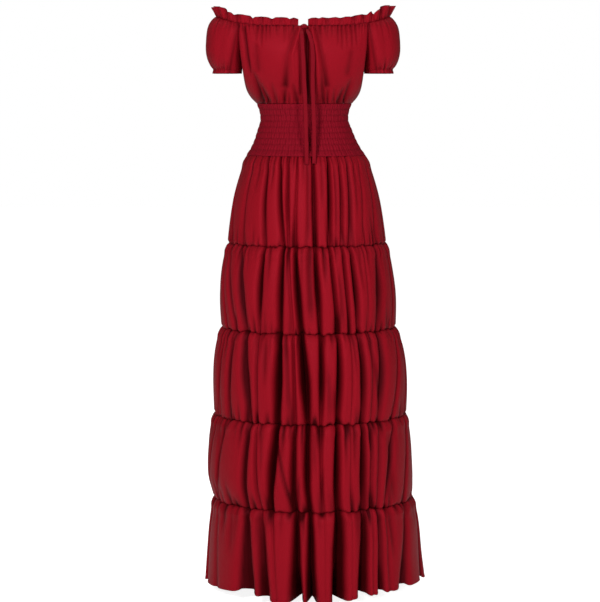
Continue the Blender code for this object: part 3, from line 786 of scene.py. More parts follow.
TIE_CREASES = (
    # the same columns: ridges and troughs that run from the knot, on the front only
    (-6, -32, -25, -92, 5, -4.4, -3.4), (-25, -92, -20, -146, 6, -3.4, -1.2),
    (-16, -30, -36, -92, 4.5, 3, 2), (-36, -92, -41, -160, 6.5, 2, 5.5),
    (20, -32, 31, -92, 5, -4.4, -3.4), (31, -92, 38, -146, 6, -3.4, -1.2),
    (30, -30, 43, -92, 4.5, 3, 3), (43, -92, 54, -160, 6.5, 3, 5), (9, -34, 12, -198, 5, 8, 6),
    (-9, -62, -5, -180, 2.8, 3, 4), (25, -64, 27, -180, 3.2, 3, 3.5),
)


@dataclass(frozen=True)
class PanelShape:
    """What sets one panel of the bodice apart from the other.

    Attributes:
        bulge: metres that it swells out in the middle.
        dip: how far its neckline dips.
        creases: rows of its creases.
        mirror: factor on their places across.
        strength: factor on their depths.
    """

    bulge: float
    dip: float
    creases: tuple[tuple[float, ...], ...]
    mirror: float
    strength: float


PANELS = {Panel.FRONT: PanelShape(0.026, NECK.dip_front, FRONT_CREASES + TIE_CREASES, 1.0, 1.5),
          Panel.BACK: PanelShape(0.012, NECK.dip_back, FRONT_CREASES, -0.93, 1.2)}


@dataclass
class Bodice:
    """The front and back panels between the neckline, the armholes and the waistband."""

    waist_z: float = -0.200
    taper: float = 2.2
    side_share: float = 28.0
    side_bulge: float = 0.0075
    side_power: float = 2.4
    neck_columns: int = 151
    seam_columns: int = 25
    rows: int = 58
    flat: tuple[float, float] = (0.42, 0.215)
    darkest_depth: float = 0.0085
    neck_ripple: float = 0.00085
    waist_ripple: float = 0.0010
    elastic_pinch: float = 0.0004

    def top_edge(self, panel: Panel) -> Array:
        """Go up one armhole, along the neckline and down the other armhole.

        Args:
            panel: front or back.

        Returns:
            The points of the panel's top edge.
        """
        reach = NECK.armhole_top(panel)
        if panel is Panel.BACK:
            half = np.linspace(reach, NECK.back_centre(), self.neck_columns // 2 + 1)
            lengths = np.concatenate([-half, half[-2::-1]])
        else:
            lengths = np.linspace(-reach, reach, self.neck_columns)
        neck, _ = NECK.points(lengths)
        seam = NECK.armhole(np.linspace(0.0, 1.0, self.seam_columns + 1), panel)[:-1]
        seam[:, 0] -= 0.0001
        return np.concatenate([seam * np.array([-1.0, 1.0, 1.0]), neck, seam[::-1]])

    def form(self, panel: Panel) -> tuple[Array, Array]:
        """Shape a panel without its creases.

        point = top (1 - v**taper) + waist v**taper across the body, evenly down, plus
        bulge * sin(pi v**0.8) outwards.

        Args:
            panel: front or back.

        Returns:
            Its points, and v at each row, 0 at the top to 1 at the waist.
        """
        top = self.top_edge(panel)
        side_turn = 90.0 - self.side_share
        flank = np.linspace(-90.0, -side_turn, self.seam_columns + 1)[:-1]
        middle = np.linspace(-side_turn, side_turn, self.neck_columns)
        turn = np.concatenate([flank, middle, -flank[::-1]])
        if panel is Panel.BACK:
            turn = 180.0 - turn
        angle = np.radians(turn)
        waist = oval_points(angle, *waist_oval(np.array([self.waist_z])), self.waist_z)
        v = dense_ends(self.rows, 0.06)[:, None]
        share = v[:, :, None] ** self.taper
        points = top * (1.0 - share) + waist * share
        points[:, :, 2] = top[:, 2] * (1.0 - v) + self.waist_z * v
        window = np.cos(np.linspace(-1.0, 1.0, len(top)) * math.pi / 2.0) ** 0.6
        swell = PANELS[panel].bulge * np.sin(math.pi * v ** 0.8) * window
        points[:, :, 1] += panel.value * swell
        side_puff = self.side_bulge * np.sin(math.pi * v ** self.side_power)
        points[:, :, 0] += side_puff * np.sign(points[:, :, 0]) * np.sin(angle) ** 2
        return (points[:, ::-1] if panel is Panel.BACK else points), v

    def grid(self, panel: Panel) -> ClothGrid:
        """Crease a panel and gather it at the neck and the waist.

        The deepest crease counts at each place, with the highest ridge; ripples of two waves make
        the gathers. All goes along the normal and dies away at the panel's edges.

        Args:
            panel: front or back.

        Returns:
            The panel's outer face.
        """
        points, v = self.form(panel)
        shape = PANELS[panel]
        across, up = points[:, :, 0], points[:, :, 2]
        above_waist = np.abs(up - self.waist_z)
        below = np.abs(up + shape.dip)
        normal = grid_normals(points, False)
        normal[:, :, 2] *= np.clip(above_waist / 0.03, 0.0, 1.0)
        each = np.stack([crease.depth_at(across, up) * shape.strength
                         for crease in creases_from_rows(shape.creases, shape.mirror)])
        depth = each.max(axis=0) + np.minimum(each, 0.0).min(axis=0)
        ripple = np.sin(across * 720.0 + 2.0 * np.sin(across * 90.0))
        ripple += 0.6 * np.sin(across * 1130.0 + 1.0)
        troughs = np.clip(ripple, 0.0, 1.0)
        edge = from_ends(points.shape[1])
        at_armhole = bell(np.clip(edge - self.seam_columns, 0.0, None), 1.6)
        # Painted shade in the creases, in the gathers at the waist and the neck, along the neck elastic
        # and along the armhole seams.
        hollow = (depth / self.darkest_depth + 0.45 * troughs * bell(above_waist, 0.016)
                  + 0.40 * troughs * bell(below, 0.015) + (0.22 + 0.12 * ripple) * bell(below, 0.0028)
                  + 0.5 * at_armhole * np.exp(-((v / 0.55) ** 4)))
        depth = depth + self.neck_ripple * ripple * bell(below, 0.016)
        depth = depth + self.waist_ripple * ripple * bell(above_waist, 0.013)
        depth = depth * np.clip(above_waist / 0.007, 0.22, 1.0)
        depth = depth + self.elastic_pinch * bell(above_waist, 0.004)
        depth = depth * np.clip(edge / 10.0, 0.0, 1.0) * np.clip(v * 26.0, 0.0, 1.0)
        points = points - normal * depth[:, :, None]
        points[:, [0, -1], 1] = -panel.value * 0.0002
        return ClothGrid(points, False, self.flat, hollow)

    def build(self) -> None:
        """Build both panels."""
        for panel, name in ((Panel.FRONT, "bodice_front"), (Panel.BACK, "bodice_back")):
            add_cloth(f"{name}_cloth", self.grid(panel), GOWN, name)


# Sleeves

@dataclass
class Sleeve:
    """A short puffed sleeve from the armhole and the neckline down to its elastic cuff."""

    cuff_x: float = 0.1762
    cuff_z: float = -0.1305
    cuff_half_width: float = 0.0345
    cuff_half_depth: float = 0.052
    pinch: float = 0.0014
    elastic_row: float = 0.93
    puff_out: float = 0.018
    puff_front: float = 0.011
    fullness: float = 3.0
    armhole_arc: float = 78.0
    seam_columns: int = 25
    over_columns: int = 111
    rows: int = 50
    gathers: int = 25
    gather_width: tuple[float, float] = (1.8, 3.4)
    gather_depth: tuple[float, float] = (0.0010, 0.0036)
    neck_reach: tuple[float, float] = (0.08, 0.30)
    cuff_reach: tuple[float, float] = (0.05, 0.20)
    darkest_gather: float = 0.0070
    flat: tuple[float, float] = (0.36, 0.135)

    def loop(self) -> tuple[Array, Array]:
        """Go round the top edge, from the underarm up the front and down the back.

        Returns:
            Its points, and their turns round the sleeve in degrees.
        """
        part = np.linspace(0.0, 1.0, self.seam_columns + 1)
        lengths = np.linspace(NECK.armhole_top(Panel.FRONT), NECK.armhole_top(Panel.BACK),
                              self.over_columns)
        top = np.concatenate([NECK.armhole(part, Panel.FRONT)[:-1], NECK.points(lengths)[0],
                              NECK.armhole(part, Panel.BACK)[1:-1][::-1]])
        top[:, 0] += 0.0001
        arc = self.armhole_arc
        turns = np.concatenate([part[:-1] * arc, np.linspace(arc, 360.0 - arc, self.over_columns),
                                360.0 - part[1:-1][::-1] * arc])
        return top, turns

    def gather(self, turns: Array, v: Array, seed: int) -> Array:
        """Add up gathers that run down from the neckline and up from the cuff.

        Args:
            turns: degrees round the sleeve of each column.
            v: 0 at the top edge to 1 at the cuff, for each row.
            seed: picks their places and sizes.

        Returns:
            Metres of depth, rows by columns.
        """
        chance = np.random.default_rng(seed)
        depth = np.zeros((len(v), len(turns)))
        for number in range(self.gathers):
            centre = self.armhole_arc + (360.0 - 2.0 * self.armhole_arc) * (number + 0.5) / self.gathers
            centre += chance.uniform(-2.0, 2.0)
            wide = chance.uniform(*self.gather_width)
            from_neck = chance.uniform(*self.gather_depth) * bell(v, chance.uniform(*self.neck_reach))
            at_cuff, cuff_reach = chance.uniform(*self.gather_depth), chance.uniform(*self.cuff_reach)
            from_cuff = at_cuff * bell(self.elastic_row - v, cuff_reach)
            lean = centre + chance.uniform(-5.0, 5.0) * v
            depth = depth + (from_neck + from_cuff) * bell(turns[None, :] - lean, wide)
        return depth

    def grid(self, side: Side, seed: int) -> ClothGrid:
        """Shape one sleeve.

        point = top (1 - v) + cuff v + puff * (1 - |2 d**0.85 - 1|**fullness), d being the share
        of the way to the elastic; a ridge and a valley run beside the armhole seam.

        Args:
            side: which sleeve it is.
            seed: picks its gathers.

        Returns:
            The sleeve's outer face.
        """
        top, turns = self.loop()
        angle = np.radians(turns)
        way = np.stack([-np.cos(angle), -np.sin(angle), np.zeros(len(turns))], axis=1)
        cuff = np.array([self.cuff_x, 0.0, self.cuff_z]) + way * np.array(
            [self.cuff_half_width, self.cuff_half_depth, 0.0])
        way[:, 0] = np.maximum(way[:, 0], 0.0)
        outside = (1.0 - np.cos(angle)) / 2.0
        puff = (self.puff_out * outside ** 1.5
                + self.puff_front * np.abs(np.sin(angle)) * (0.35 + 0.65 * outside))
        v = dense_ends(self.rows, 0.05)[:, None]
        down = np.minimum(v / self.elastic_row, 1.0)
        swell = 1.0 - np.abs(2.0 * down ** 0.85 - 1.0) ** self.fullness
        points = top * (1.0 - v[:, :, None]) + cuff * v[:, :, None]
        points = points + way * (puff * swell)[:, :, None]
        depth = self.gather(turns, v, seed)
        near_seam = np.minimum(turns, 360.0 - turns)
        # Painted shade in the gathers, along the elastic and along the armhole seam.
        hollow = (depth / self.darkest_gather + 0.25 * bell(v - self.elastic_row, 0.012)
                  + 0.50 * bell(near_seam - self.armhole_arc, 6.0))
        beside = -0.0030 * bell(near_seam - 92.0, 10.0) + 0.0022 * bell(near_seam - 112.0, 9.0)
        depth = depth + beside[None, :] * np.sin(math.pi * down)
        depth = depth + self.pinch * bell(v - self.elastic_row, 0.035)
        depth = depth * np.clip(v * 20.0, 0.0, 1.0) * (0.25 + 0.75 * outside[None, :])
        points = points - grid_normals(points, True) * depth[:, :, None]
        if side is Side.RIGHT:
            points = (points * np.array([-1.0, 1.0, 1.0]))[:, ::-1]
            hollow = hollow[:, ::-1]
        return ClothGrid(points, True, self.flat, hollow)

    def build(self) -> None:
        """Build both sleeves, each with its own gathers."""
        for side, node, seed in ((Side.LEFT, "sleeve_left", 3), (Side.RIGHT, "sleeve_right", 11)):
            add_cloth(f"{node}_cloth", self.grid(side, seed), GOWN, node)


# Neck frill

FRILL_TOP = (
    # x, height above the elastic, both in millimetres, along the front from right to left
    (-201, 21), (-195, 25), (-184, 28), (-177, 27), (-172, 20), (-161, 21), (-157, 16.5), (-150, 19.5),
    (-135, 20.5), (-120, 19.5), (-113, 14), (-107, 17.5), (-95, 19.5), (-78, 18), (-70, 14.5),
    (-62, 18), (-48, 19), (-36, 17.5), (-30, 14.5), (-22, 18), (-9, 16.5), (12, 16.5), (28, 18),
    (36, 16), (43, 18.5), (58, 17), (73, 18.5), (84, 16.5), (95, 19), (108, 18), (118, 20.5),
    (133, 21.5), (143, 19), (148, 24.5), (154, 24.5), (159, 17), (165, 25), (175, 29), (184, 31),
    (192, 28), (201, 24),
)


@dataclass
class NeckFrill:
    """The frill above the neck elastic, open at the notch in the centre front."""

    wave: float = 0.0032
    shoulder_wave: float = 0.0030
    small_wave: float = 0.0016
    lean: float = 0.0045
    waves: int = 37
    columns: int = 900
    rows: int = 12
    back_share: float = 0.90
    thickness: float = 0.0008
    flat: tuple[float, float] = (1.16, 0.0205)

    def grid(self) -> ClothGrid:
        """Work out the frill.

        Height v of the strip leans out by lean * v**1.5 and swings by wave * v**0.8 * (sin(phase)
        + 0.3 sin(0.37 phase + 1)); its top edge follows FRILL_TOP, and small gathers just above
        its foot die away.

        Returns:
            The frill's outer face.
        """
        notch = NECK.place(NECK.notch_width / 2.0, Panel.FRONT)
        half = np.linspace(notch, NECK.back_centre(), self.columns // 2)
        lengths = np.concatenate([half, -half[-2::-1]])
        foot, out = NECK.points(lengths)
        foot[:, 2] -= 0.0004
        share = np.linspace(0.0, 1.0, len(lengths))
        phase = share * self.waves * 2.0 * math.pi + 1.1 * np.sin(share * 47.0)
        swing = np.sin(phase) + 0.30 * np.sin(phase * 0.37 + 1.0)
        sideways = (np.abs(foot[:, 0]) / NECK.half_width) ** 3
        table = np.array(FRILL_TOP) / 1000.0
        in_front = foot[:, 1] < 0.0
        place = np.where(in_front, foot[:, 0], -foot[:, 0])
        height = np.interp(place, table[:, 0], table[:, 1])
        height = np.where(in_front, height, height * self.back_share)
        height = height - 0.002 * bell(from_ends(len(lengths)), 5.0)
        v = np.linspace(1.0, 0.0, self.rows)[:, None]
        across = (self.lean * v ** 1.5 * (0.4 + sideways)
                  + (self.wave + self.shoulder_wave * sideways) * swing * v ** 0.8
                  + self.small_wave * np.sin(phase * 3.3) * np.sin(math.pi * v) * np.exp(-v / 0.5))
        points = foot[None] + out[None] * across[:, :, None]
        points[:, :, 2] += height * v
        # Painted shade at the foot of the frill, on the waves that lean in and along its top edge.
        hollow = ((0.42 + 0.24 * np.sin(phase * 1.7)) * bell(v, 0.16)
                  + 0.55 * np.clip(-swing, 0.0, 1.0) * (0.25 + 0.75 * v) + 0.50 * bell(1.0 - v, 0.07))
        return ClothGrid(points, False, self.flat, hollow)

    def build(self) -> None:
        """Build the frill."""
        add_cloth("neck_frill_cloth", self.grid(), GOWN, "neck_frill", self.thickness)


# Skirt

LEVEL_Z = (-0.319, -0.523, -0.7205, -0.9265, -1.1265, -1.334)
TIER_RINGS = (
    # part of the tier's height, half_width, shift
    ((0, 0.1395, 0.007), (0.22, 0.1555, 0.008), (0.5, 0.1715, 0.008),
     (0.8, 0.1815, 0.0088), (1, 0.1865, 0.0095)),
    ((0, 0.1865, 0.0095), (0.24, 0.199, 0.0096), (0.7, 0.208, 0.0118), (1, 0.206, 0.013)),
    ((0, 0.206, 0.013), (0.24, 0.222, 0.015), (0.7, 0.23, 0.0168), (1, 0.2285, 0.017)),
    ((0, 0.2285, 0.017), (0.24, 0.2385, 0.0162), (0.7, 0.244, 0.0176), (1, 0.2375, 0.0246)),
    ((0, 0.2375, 0.0246), (0.24, 0.248, 0.0262), (0.7, 0.2575, 0.027), (1, 0.264, 0.0285)),
)
TIER_FLATS = ((1.25, 0.218), (1.58, 0.208), (1.78, 0.216), (1.88, 0.211), (2.25, 0.212))
FOLD_LINES = (
    # waist, seam_1, seam_2, seam_3, seam_4, hem, half_width, in degrees
    (-90, -69, -55, -57, -68, -62, 9),
    (-57, -54, -45, -38, -41, -38, 8),
    (-38, -32, -34, -32.5, -31, -27, 6),
    (-25, -17, -19, -20, -24, -20, 7),
    (-17, -13, -10, -9, -10, -10, 6),
    (-8, -8.5, -5, -1.5, -2, -2, 6),
    (6, 5.5, 7.5, 6, 6, 5.5, 5),
    (21, 16, 19, 16, 14, 12, 8),
    (32, 25, 27, 24, 21.5, 19, 5),
    (41, 32, 34, 32, 29.5, 26, 6),
    (56, 43, 42, 38, 34.5, 31, 5),
    (70, 58, 51, 44, 39, 36, 6),
    (83, 75, 71, 57, 44, 41.5, 6),
    (93, 89, 85, 75, 63, 52, 7),
    (106, 104, 100, 93, 84, 75, 9),
)
FOLD_DEPTHS = (
    # tier_1, tier_2, tier_3, tier_4, tier_5, hem, in millimetres
    (10, 16, 16, 8, 4, 6),
    (7, 22, 22, 20, 28, 40),
    (15, 20, 7, 8, 16, 26),
    (14, 18, 30, 28, 3, 2),
    (8, 4, 7, 16, 26, 58),
    (4, 20, 32, 20, 24, 46),
    (13, 18, 18, 5, 1, 1),
    (16, 11, 20, 22, 32, 56),
    (10, 10, 3, 2, 1, 1),
    (13, 18, 18, 20, 24, 46),
    (5, 3, 6, 8, 3, 3),
    (5, 17, 18, 7, 13, 24),
    (4, 6, 9, 17, 5, 4),
    (6, 7, 7, 9, 14, 26),
    (7, 9, 11, 13, 16, 30),
)
FOLD_WIDTHS = (
    # the same columns: half width of each slot, in millimetres
    (5.5, 7, 8, 6, 8, 10),
    (4.5, 11, 13, 9, 15, 21),
    (5, 7.5, 4.5, 5, 12, 15),
    (4.5, 6.5, 9, 9, 4, 4),
    (4, 4.5, 4, 7, 9, 12),
    (3, 6.5, 10, 7, 8, 10),
    (5, 6, 6, 4, 3, 3),
    (4.5, 4.5, 6.5, 7, 14, 21),
    (4.5, 4.5, 3.5, 3, 3, 3),
    (5.5, 7.5, 8.5, 9, 13, 17),
    (4.5, 4, 6.5, 7, 4, 4),
    (5, 14, 12, 8, 9, 12),
    (4.5, 6, 7, 9, 5, 6),
    (5, 6, 7, 8, 12, 15),
    (5, 6, 7, 8, 9, 11),
)
# Angles round the hem, and how many millimetres its edge rises there.
HEM_RISE = ((-180, -90, -60, -42, -33, -22, 12, 20, 30, 45, 70, 90, 180),
            (6, 8, 9, 14, 9, 1, 0, 9, 13, 16, 18, 12, 6))
# Smaller creases on the front of each tier.
SKIRT_CREASES = (
    # top_angle, bottom_angle, from_part, to_part, half_width (degrees), depth (mm)
    ((-46, -44, 0, 0.45, 2.2, 3), (-31, -28, 0, 0.4, 1.8, 2.4), (-2, -3, 0, 0.35, 1.8, 3),
     (1.5, 1, 0.1, 1, 2.2, 4), (14, 11, 0.05, 0.6, 2, 2.4), (26, 21, 0.1, 0.9, 2, 3),
     (48, 38, 0.05, 0.7, 2.2, 2.6)),
    ((-13.5, -14.5, 0, 0.6, 1.8, 2.4), (1, 2, 0, 0.9, 3, 5), (11.5, 13, 0, 0.45, 2, 5),
     (21, 23, 0.3, 1, 2.2, 3), (38, 40, 0, 0.55, 2.2, 2.5)),
    ((-28, -27, 0.05, 0.6, 2.4, 4), (-14.5, -12, 0.1, 0.95, 2.2, 4), (9.5, 11.5, 0.4, 1, 2, 3),
     (13, 14.5, 0.6, 1, 1.8, 3.5), (29, 27, 0, 0.5, 2, 2.4), (41, 45, 0.3, 0.9, 2.4, 3.5)),
    ((-62, -64, 0.1, 0.9, 2.4, 3), (-29, -27.5, 0.05, 0.6, 1.6, 2.4), (-21.5, -10.5, 0.1, 1, 1.6, 6),
     (-5, -8, 0.62, 1, 1.5, 4), (8.5, 5, 0.55, 1, 1.4, 3), (1.5, 3, 0, 0.6, 2, 2.5),
     (26, 24.5, 0.05, 0.55, 2, 2.5), (36, 37.5, 0, 0.35, 2, 5), (50, 52, 0.2, 1, 3, 4)),
    ((-52, -50, 0, 0.6, 2.6, 3), (-33, -32, 0, 0.45, 2, 3), (-6, -6, 0, 0.4, 1.8, 3),
     (3, 3, 0, 0.3, 1.6, 2), (17, 15.5, 0, 0.35, 1.8, 2), (46, 47, 0, 0.6, 2.2, 3.5)),
)


@dataclass(frozen=True)
class SeamSide:
    """How the cloth is gathered on one side of the tier seams.

    Attributes:
        counts: gathers all round at each seam, from the waist down.
        seed: picks their places.
        longest: metres that the longest one reaches.
        strength: factor on their depth.
        pinch_reach: metres over which the seam draws the cloth in.
    """

    counts: tuple[int, ...]
    seed: int
    longest: float
    strength: float
    pinch_reach: float


BELOW = SeamSide((132, 112, 100, 92, 74), 5, 0.075, 1.0, 0.0038)
ABOVE = SeamSide((0, 96, 88, 80, 66), 9, 0.055, 1.25, 0.0032)


@dataclass
class Skirt:
    """Five gathered tiers whose folds run on from one tier to the next.

    Attributes:
        depth_share: half depth of each ring as a share of its half width.
        seam_share: how deep a valley stays at a seam, as a share of its depth below.
        slot_share: share of a valley's depth that its narrow slot has.
        deepen: angles from the centre front, and how much deeper the slots are there.
        darkest_depth: metres of slot at which the painted shade in a fold is darkest.
        darkest_crease: the same for a small crease.
        darkest_gather: the same for a gather at a seam.
        back_folds: valleys round the sides and back, between the last and first of the table.
        back_stray: degrees that they stray.
        back_half_width: degrees of their soft half width.
        back_slots: half widths of their slots at each level.
        back_mean_depth: their mean depth at each level.
        back_swing: how far their depths swing from the mean.
        columns_per_fold: grid columns from one valley to the next.
        rows: grid rows of a tier.
        pucker_depths: deepest gather at each seam.
        seam_pinch: metres that a seam draws the cloth in.
        seam_dark: strength of the painted shade line along a seam.
        seam_line: metres that the line reaches.
        at_waist: share of a seam's pinch and painted shade line that the waist seam has.
        allowance: metres of cloth turned in at a seam.
        puff: metres that the cloth swells just below a seam.
        seam_ripple: metres that a seam line rises and falls.
    """

    depth_share: float = 0.83
    seam_share: float = 0.60
    slot_share: float = 0.84
    deepen: tuple[tuple[float, ...], ...] = ((0.0, 18.0, 42.0, 70.0, 110.0, 180.0),
                                             (1.60, 1.45, 0.70, 0.62, 1.0, 1.2))
    darkest_depth: float = 0.017
    darkest_crease: float = 0.008
    darkest_gather: float = 0.0052
    back_folds: int = 14
    back_stray: float = 2.6
    back_half_width: float = 7.5
    back_slots: tuple[float, ...] = (0.0045, 0.0055, 0.0060, 0.0060, 0.0070, 0.0100)
    back_mean_depth: tuple[float, ...] = (0.009, 0.014, 0.016, 0.017, 0.019, 0.034)
    back_swing: float = 0.5
    columns_per_fold: int = 26
    rows: int = 36
    pucker_depths: tuple[float, ...] = (0.0036, 0.0042, 0.0050, 0.0056, 0.0074)
    seam_pinch: float = 0.0030
    seam_dark: float = 0.34
    seam_line: float = 0.0022
    at_waist: float = 0.3
    allowance: float = 0.009
    puff: float = 0.0028
    seam_ripple: float = 0.0013

    def folds(self) -> tuple[Array, Array, Array, Array]:
        """Gather the valleys of the tables and those of the back.

        Returns:
            Angles at the six levels, depths, soft half widths and slot half widths.
        """
        lines = np.array(FOLD_LINES)
        number = np.arange(1, self.back_folds + 1)[:, None]
        level = np.arange(6)[None, :]
        first, last = lines[-1, :6], lines[0, :6] + 360.0
        back = first + (last - first) * number / (self.back_folds + 1)
        back = back + self.back_stray * np.sin(2.3 * number + 0.7 * level)
        swing = 1.0 + self.back_swing * np.sin(1.9 * number + 1.1 * level)
        angles = np.concatenate([lines[:, :6], back])
        widths = np.concatenate([lines[:, 6], np.full(self.back_folds, self.back_half_width)])
        depths = np.concatenate([np.array(FOLD_DEPTHS) / 1000.0,
                                 np.array(self.back_mean_depth) * swing])
        slots = np.concatenate([np.array(FOLD_WIDTHS) / 1000.0,
                                np.array(self.back_slots) * (2.0 - swing)])
        return angles, depths, widths, slots

    def depth_down(self, tier: int, depths: Array, part: Array) -> Array:
        """Make each valley shallow at the seams and full in the middle of a tier.

        Args:
            tier: number of the tier, from 0.
            depths: depth of each valley at each level.
            part: 0 at the top of the tier to 1 at its foot, for each row.

        Returns:
            Depths, rows by valleys.
        """
        here = depths[:, tier][None, :]
        above = depths[:, max(tier - 1, 0)][None, :]
        below = depths[:, tier + 1][None, :]
        top = self.seam_share * (here + above) / 2.0
        bottom = below if tier == 4 else self.seam_share * (here + below) / 2.0
        first = np.sin(math.pi * np.minimum(part, 0.5)) ** 0.7
        second = np.sin(math.pi * np.clip(part - 0.5, 0.0, 0.5)) ** 2.2
        return np.where(part <= 0.5, top + (here - top) * first, here + (bottom - here) * second)

    def valleys(self, tier: int, part: Array) -> tuple[Array, Array, Array]:
        """Cut the valleys of a tier.

        valley(d) = depth * (slot_share exp(-(d / slot)**2) + (1 - slot_share) (1 - d / reach)**2),
        d being the distance from its foot: a narrow slot between broad soft pillars. Columns keep
        to the valleys, closest together near each foot.

        Args:
            tier: number of the tier, from 0.
            part: 0 at the top of the tier to 1 at its foot, for each row.

        Returns:
            Angle, depth and metres of slot that the painted shade follows, at every grid point.
        """
        angles, depths, widths, slots = self.folds()
        lines = angles[:, tier][None] * (1.0 - part) + angles[:, tier + 1][None] * part
        after = np.concatenate([lines[:, 1:], lines[:, :1] + 360.0], axis=1)
        space = (after - lines)[:, :, None]
        step = np.linspace(0.0, 1.0, self.columns_per_fold, endpoint=False)
        share = (step - 0.125 * np.sin(2.0 * math.pi * step))[None, None, :]
        past, ahead = share * space, (1.0 - share) * space
        own = slots[:, tier]
        starting = (own + slots[:, max(tier - 1, 0)]) * 0.375
        ending = slots[:, 5] if tier == 4 else (own + slots[:, tier + 1]) * 0.375
        wide = np.where(part < 0.5, starting + (own - starting) * 2.0 * part,
                        own + (ending - own) * (2.0 * part - 1.0))
        wide = np.degrees(wide / TIER_RINGS[tier][1][1])[:, :, None]
        reach = widths[None, :, None] * 1.4
        true_depth = self.depth_down(tier, depths, part)[:, :, None]
        here = true_depth * np.interp(np.abs(turn_between(lines, 0.0)), *self.deepen)[:, :, None]
        depth, dark = 0.0, 0.0
        for away, back in ((past, 0), (ahead, -1)):
            near = away / np.minimum(np.roll(wide, back, axis=1), space * 0.4)
            soft = 1.0 - np.clip(away / np.minimum(np.roll(reach, back, axis=1), space / 2.0), 0.0, 1.0)
            shape = self.slot_share * bell(near) + (1.0 - self.slot_share) * soft ** 2
            depth = depth + np.roll(here, back, axis=1) * shape
            dark = dark + np.roll(true_depth, back, axis=1) * np.exp(-(near ** 3))
        turn = lines[:, :, None] + past
        rows = len(part)
        return turn.reshape(rows, -1), depth.reshape(rows, -1), dark.reshape(rows, -1)

    def creases(self, tier: int, turn: Array, part: Array) -> Array:
        """Add up the small creases of a tier, on its front and mirrored on its back.

        Args:
            tier: number of the tier, from 0.
            turn: angle of each grid point.
            part: 0 at the top of the tier to 1 at its foot, for each row.

        Returns:
            Metres of depth at each grid point.
        """
        total = np.zeros_like(turn)
        for start, stop, first, last, wide, deep in SKIRT_CREASES[tier]:
            centre = start + (stop - start) * part
            inside = np.clip((part - first) / 0.20 + 0.5, 0.0, 1.0)
            inside = inside * np.clip((last - part) / 0.22, 0.0, 1.0)
            for apart in (turn_between(turn, centre), turn_between(turn, 180.0 - centre)):
                total += deep / 1000.0 * inside * bell(apart, 0.7 * wide)
        return total

    def puckers(self, seam: int, side: SeamSide, turn: Array, away: Array) -> Array:
        """Gather the cloth beside a seam: uneven troughs that die away from it.

        Args:
            seam: number of the seam, from the waist's 0.
            side: which side of the seam it is.
            turn: angle of each grid point.
            away: distance of each row from the seam in metres.

        Returns:
            Metres of depth at each grid point.
        """
        chance = np.random.default_rng(side.seed * 10 + seam)
        count = side.counts[seam]
        total = np.zeros_like(turn)
        for number in range(count):
            centre = (number + chance.uniform(-0.42, 0.42)) * 360.0 / count
            wide = chance.uniform(0.75, 1.6) * 84.0 / count
            reach = side.longest * chance.uniform(0.18, 1.0) ** 1.8
            depth = self.pucker_depths[seam] * chance.uniform(0.12, 1.0)
            lean = chance.uniform(-14.0, 14.0)
            apart = turn_between(turn, centre + lean * away)
            total += depth * np.exp(-((apart / wide) ** 2) - (away / reach) ** 2)
        return total * side.strength

    def wobble(self, seam: int, turn: Array) -> Array:
        """Return how far a seam line rises or falls round the skirt, the same for both tiers."""
        angle = np.radians(turn)
        return self.seam_ripple * (np.sin(angle * 17.0 + seam) + 0.7 * np.sin(angle * 41.0 + 2.0 * seam)
                                   + 0.5 * np.sin(angle * 67.0))

    def grid(self, tier: int) -> ClothGrid:
        """Shape one tier.

        x = shift + (a - d) sin(turn), y = -(b - d) cos(turn), where d adds up the valleys,
        creases, gathers and the pinch at each seam, less a puff just below the upper seam and the
        roll of the hem. One more row turns in at each seam as its allowance.

        Args:
            tier: number of the tier, from 0.

        Returns:
            The tier's outer face.
        """
        part = dense_ends(self.rows)[:, None]
        turn, depth, dark = self.valleys(tier, part)
        creases = self.creases(tier, turn, part)
        # Painted shade in the fold slots and the small creases.
        hollow = np.clip(dark / self.darkest_depth, 0.0, 1.0) + creases / self.darkest_crease
        depth = depth + creases
        top, bottom = LEVEL_Z[tier] - 0.00015, LEVEL_Z[tier + 1] + 0.00015
        from_top, from_bottom = part * (top - bottom), (1.0 - part) * (top - bottom)
        height = top + (bottom - top) * part + np.zeros_like(turn)
        table = np.array(TIER_RINGS[tier])
        half_width, shift = (smooth_table(table[:, 0], table[:, k], part) for k in (1, 2))
        seams = [(tier, from_top, BELOW), (tier + 1, from_bottom, ABOVE)]
        for seam, away, side in seams[:1] if tier == 4 else seams:
            share = self.at_waist if seam == 0 else 1.0
            gathers = self.puckers(seam, side, turn, away)
            # Painted shade in the gathers beside a seam and along the seam line.
            dark_line = share * self.seam_dark * bell(away, self.seam_line)
            hollow = hollow + gathers / self.darkest_gather + dark_line
            depth = depth + gathers + share * self.seam_pinch * bell(away, side.pinch_reach)
            if seam > 0:
                height = height + self.wobble(seam, turn) * np.exp(-away / 0.03)
        depth = depth - self.puff * bell(from_top - 0.017, 0.011)
        if tier == 4:
            depth = depth - 0.0007 * bell(from_bottom - 0.0025, 0.0022)
            rise = np.interp(turn_between(turn, 0.0), *HEM_RISE) / 1000.0
            height = height + rise * (1.0 + 0.4 * np.clip(hollow, 0.0, 1.0)) * part ** 2
        angle = np.radians(turn)
        points = oval_points(angle, half_width - depth, half_width * self.depth_share - depth, shift,
                             height)
        turned_in = points - self.allowance * oval_points(angle, 1.0, 1.0, 0.0, 0.0)
        foot = slice(0, 0) if tier == 4 else slice(-1, None)
        points = np.concatenate([turned_in[:1], points, turned_in[foot]])
        # The turned-in allowance rows get more painted shade.
        hollow = np.concatenate([hollow[:1] + 0.6, hollow, hollow[foot] + 0.6])
        return ClothGrid(points, True, TIER_FLATS[tier], hollow)

    def build(self) -> None:
        """Build the five tiers from the waist down."""
        for tier in range(5):
            node = f"skirt_tier_{tier + 1}"
            add_cloth(f"{node}_cloth", self.grid(tier), HEMMED if tier == 4 else SKIRT, node)


# Drawstring

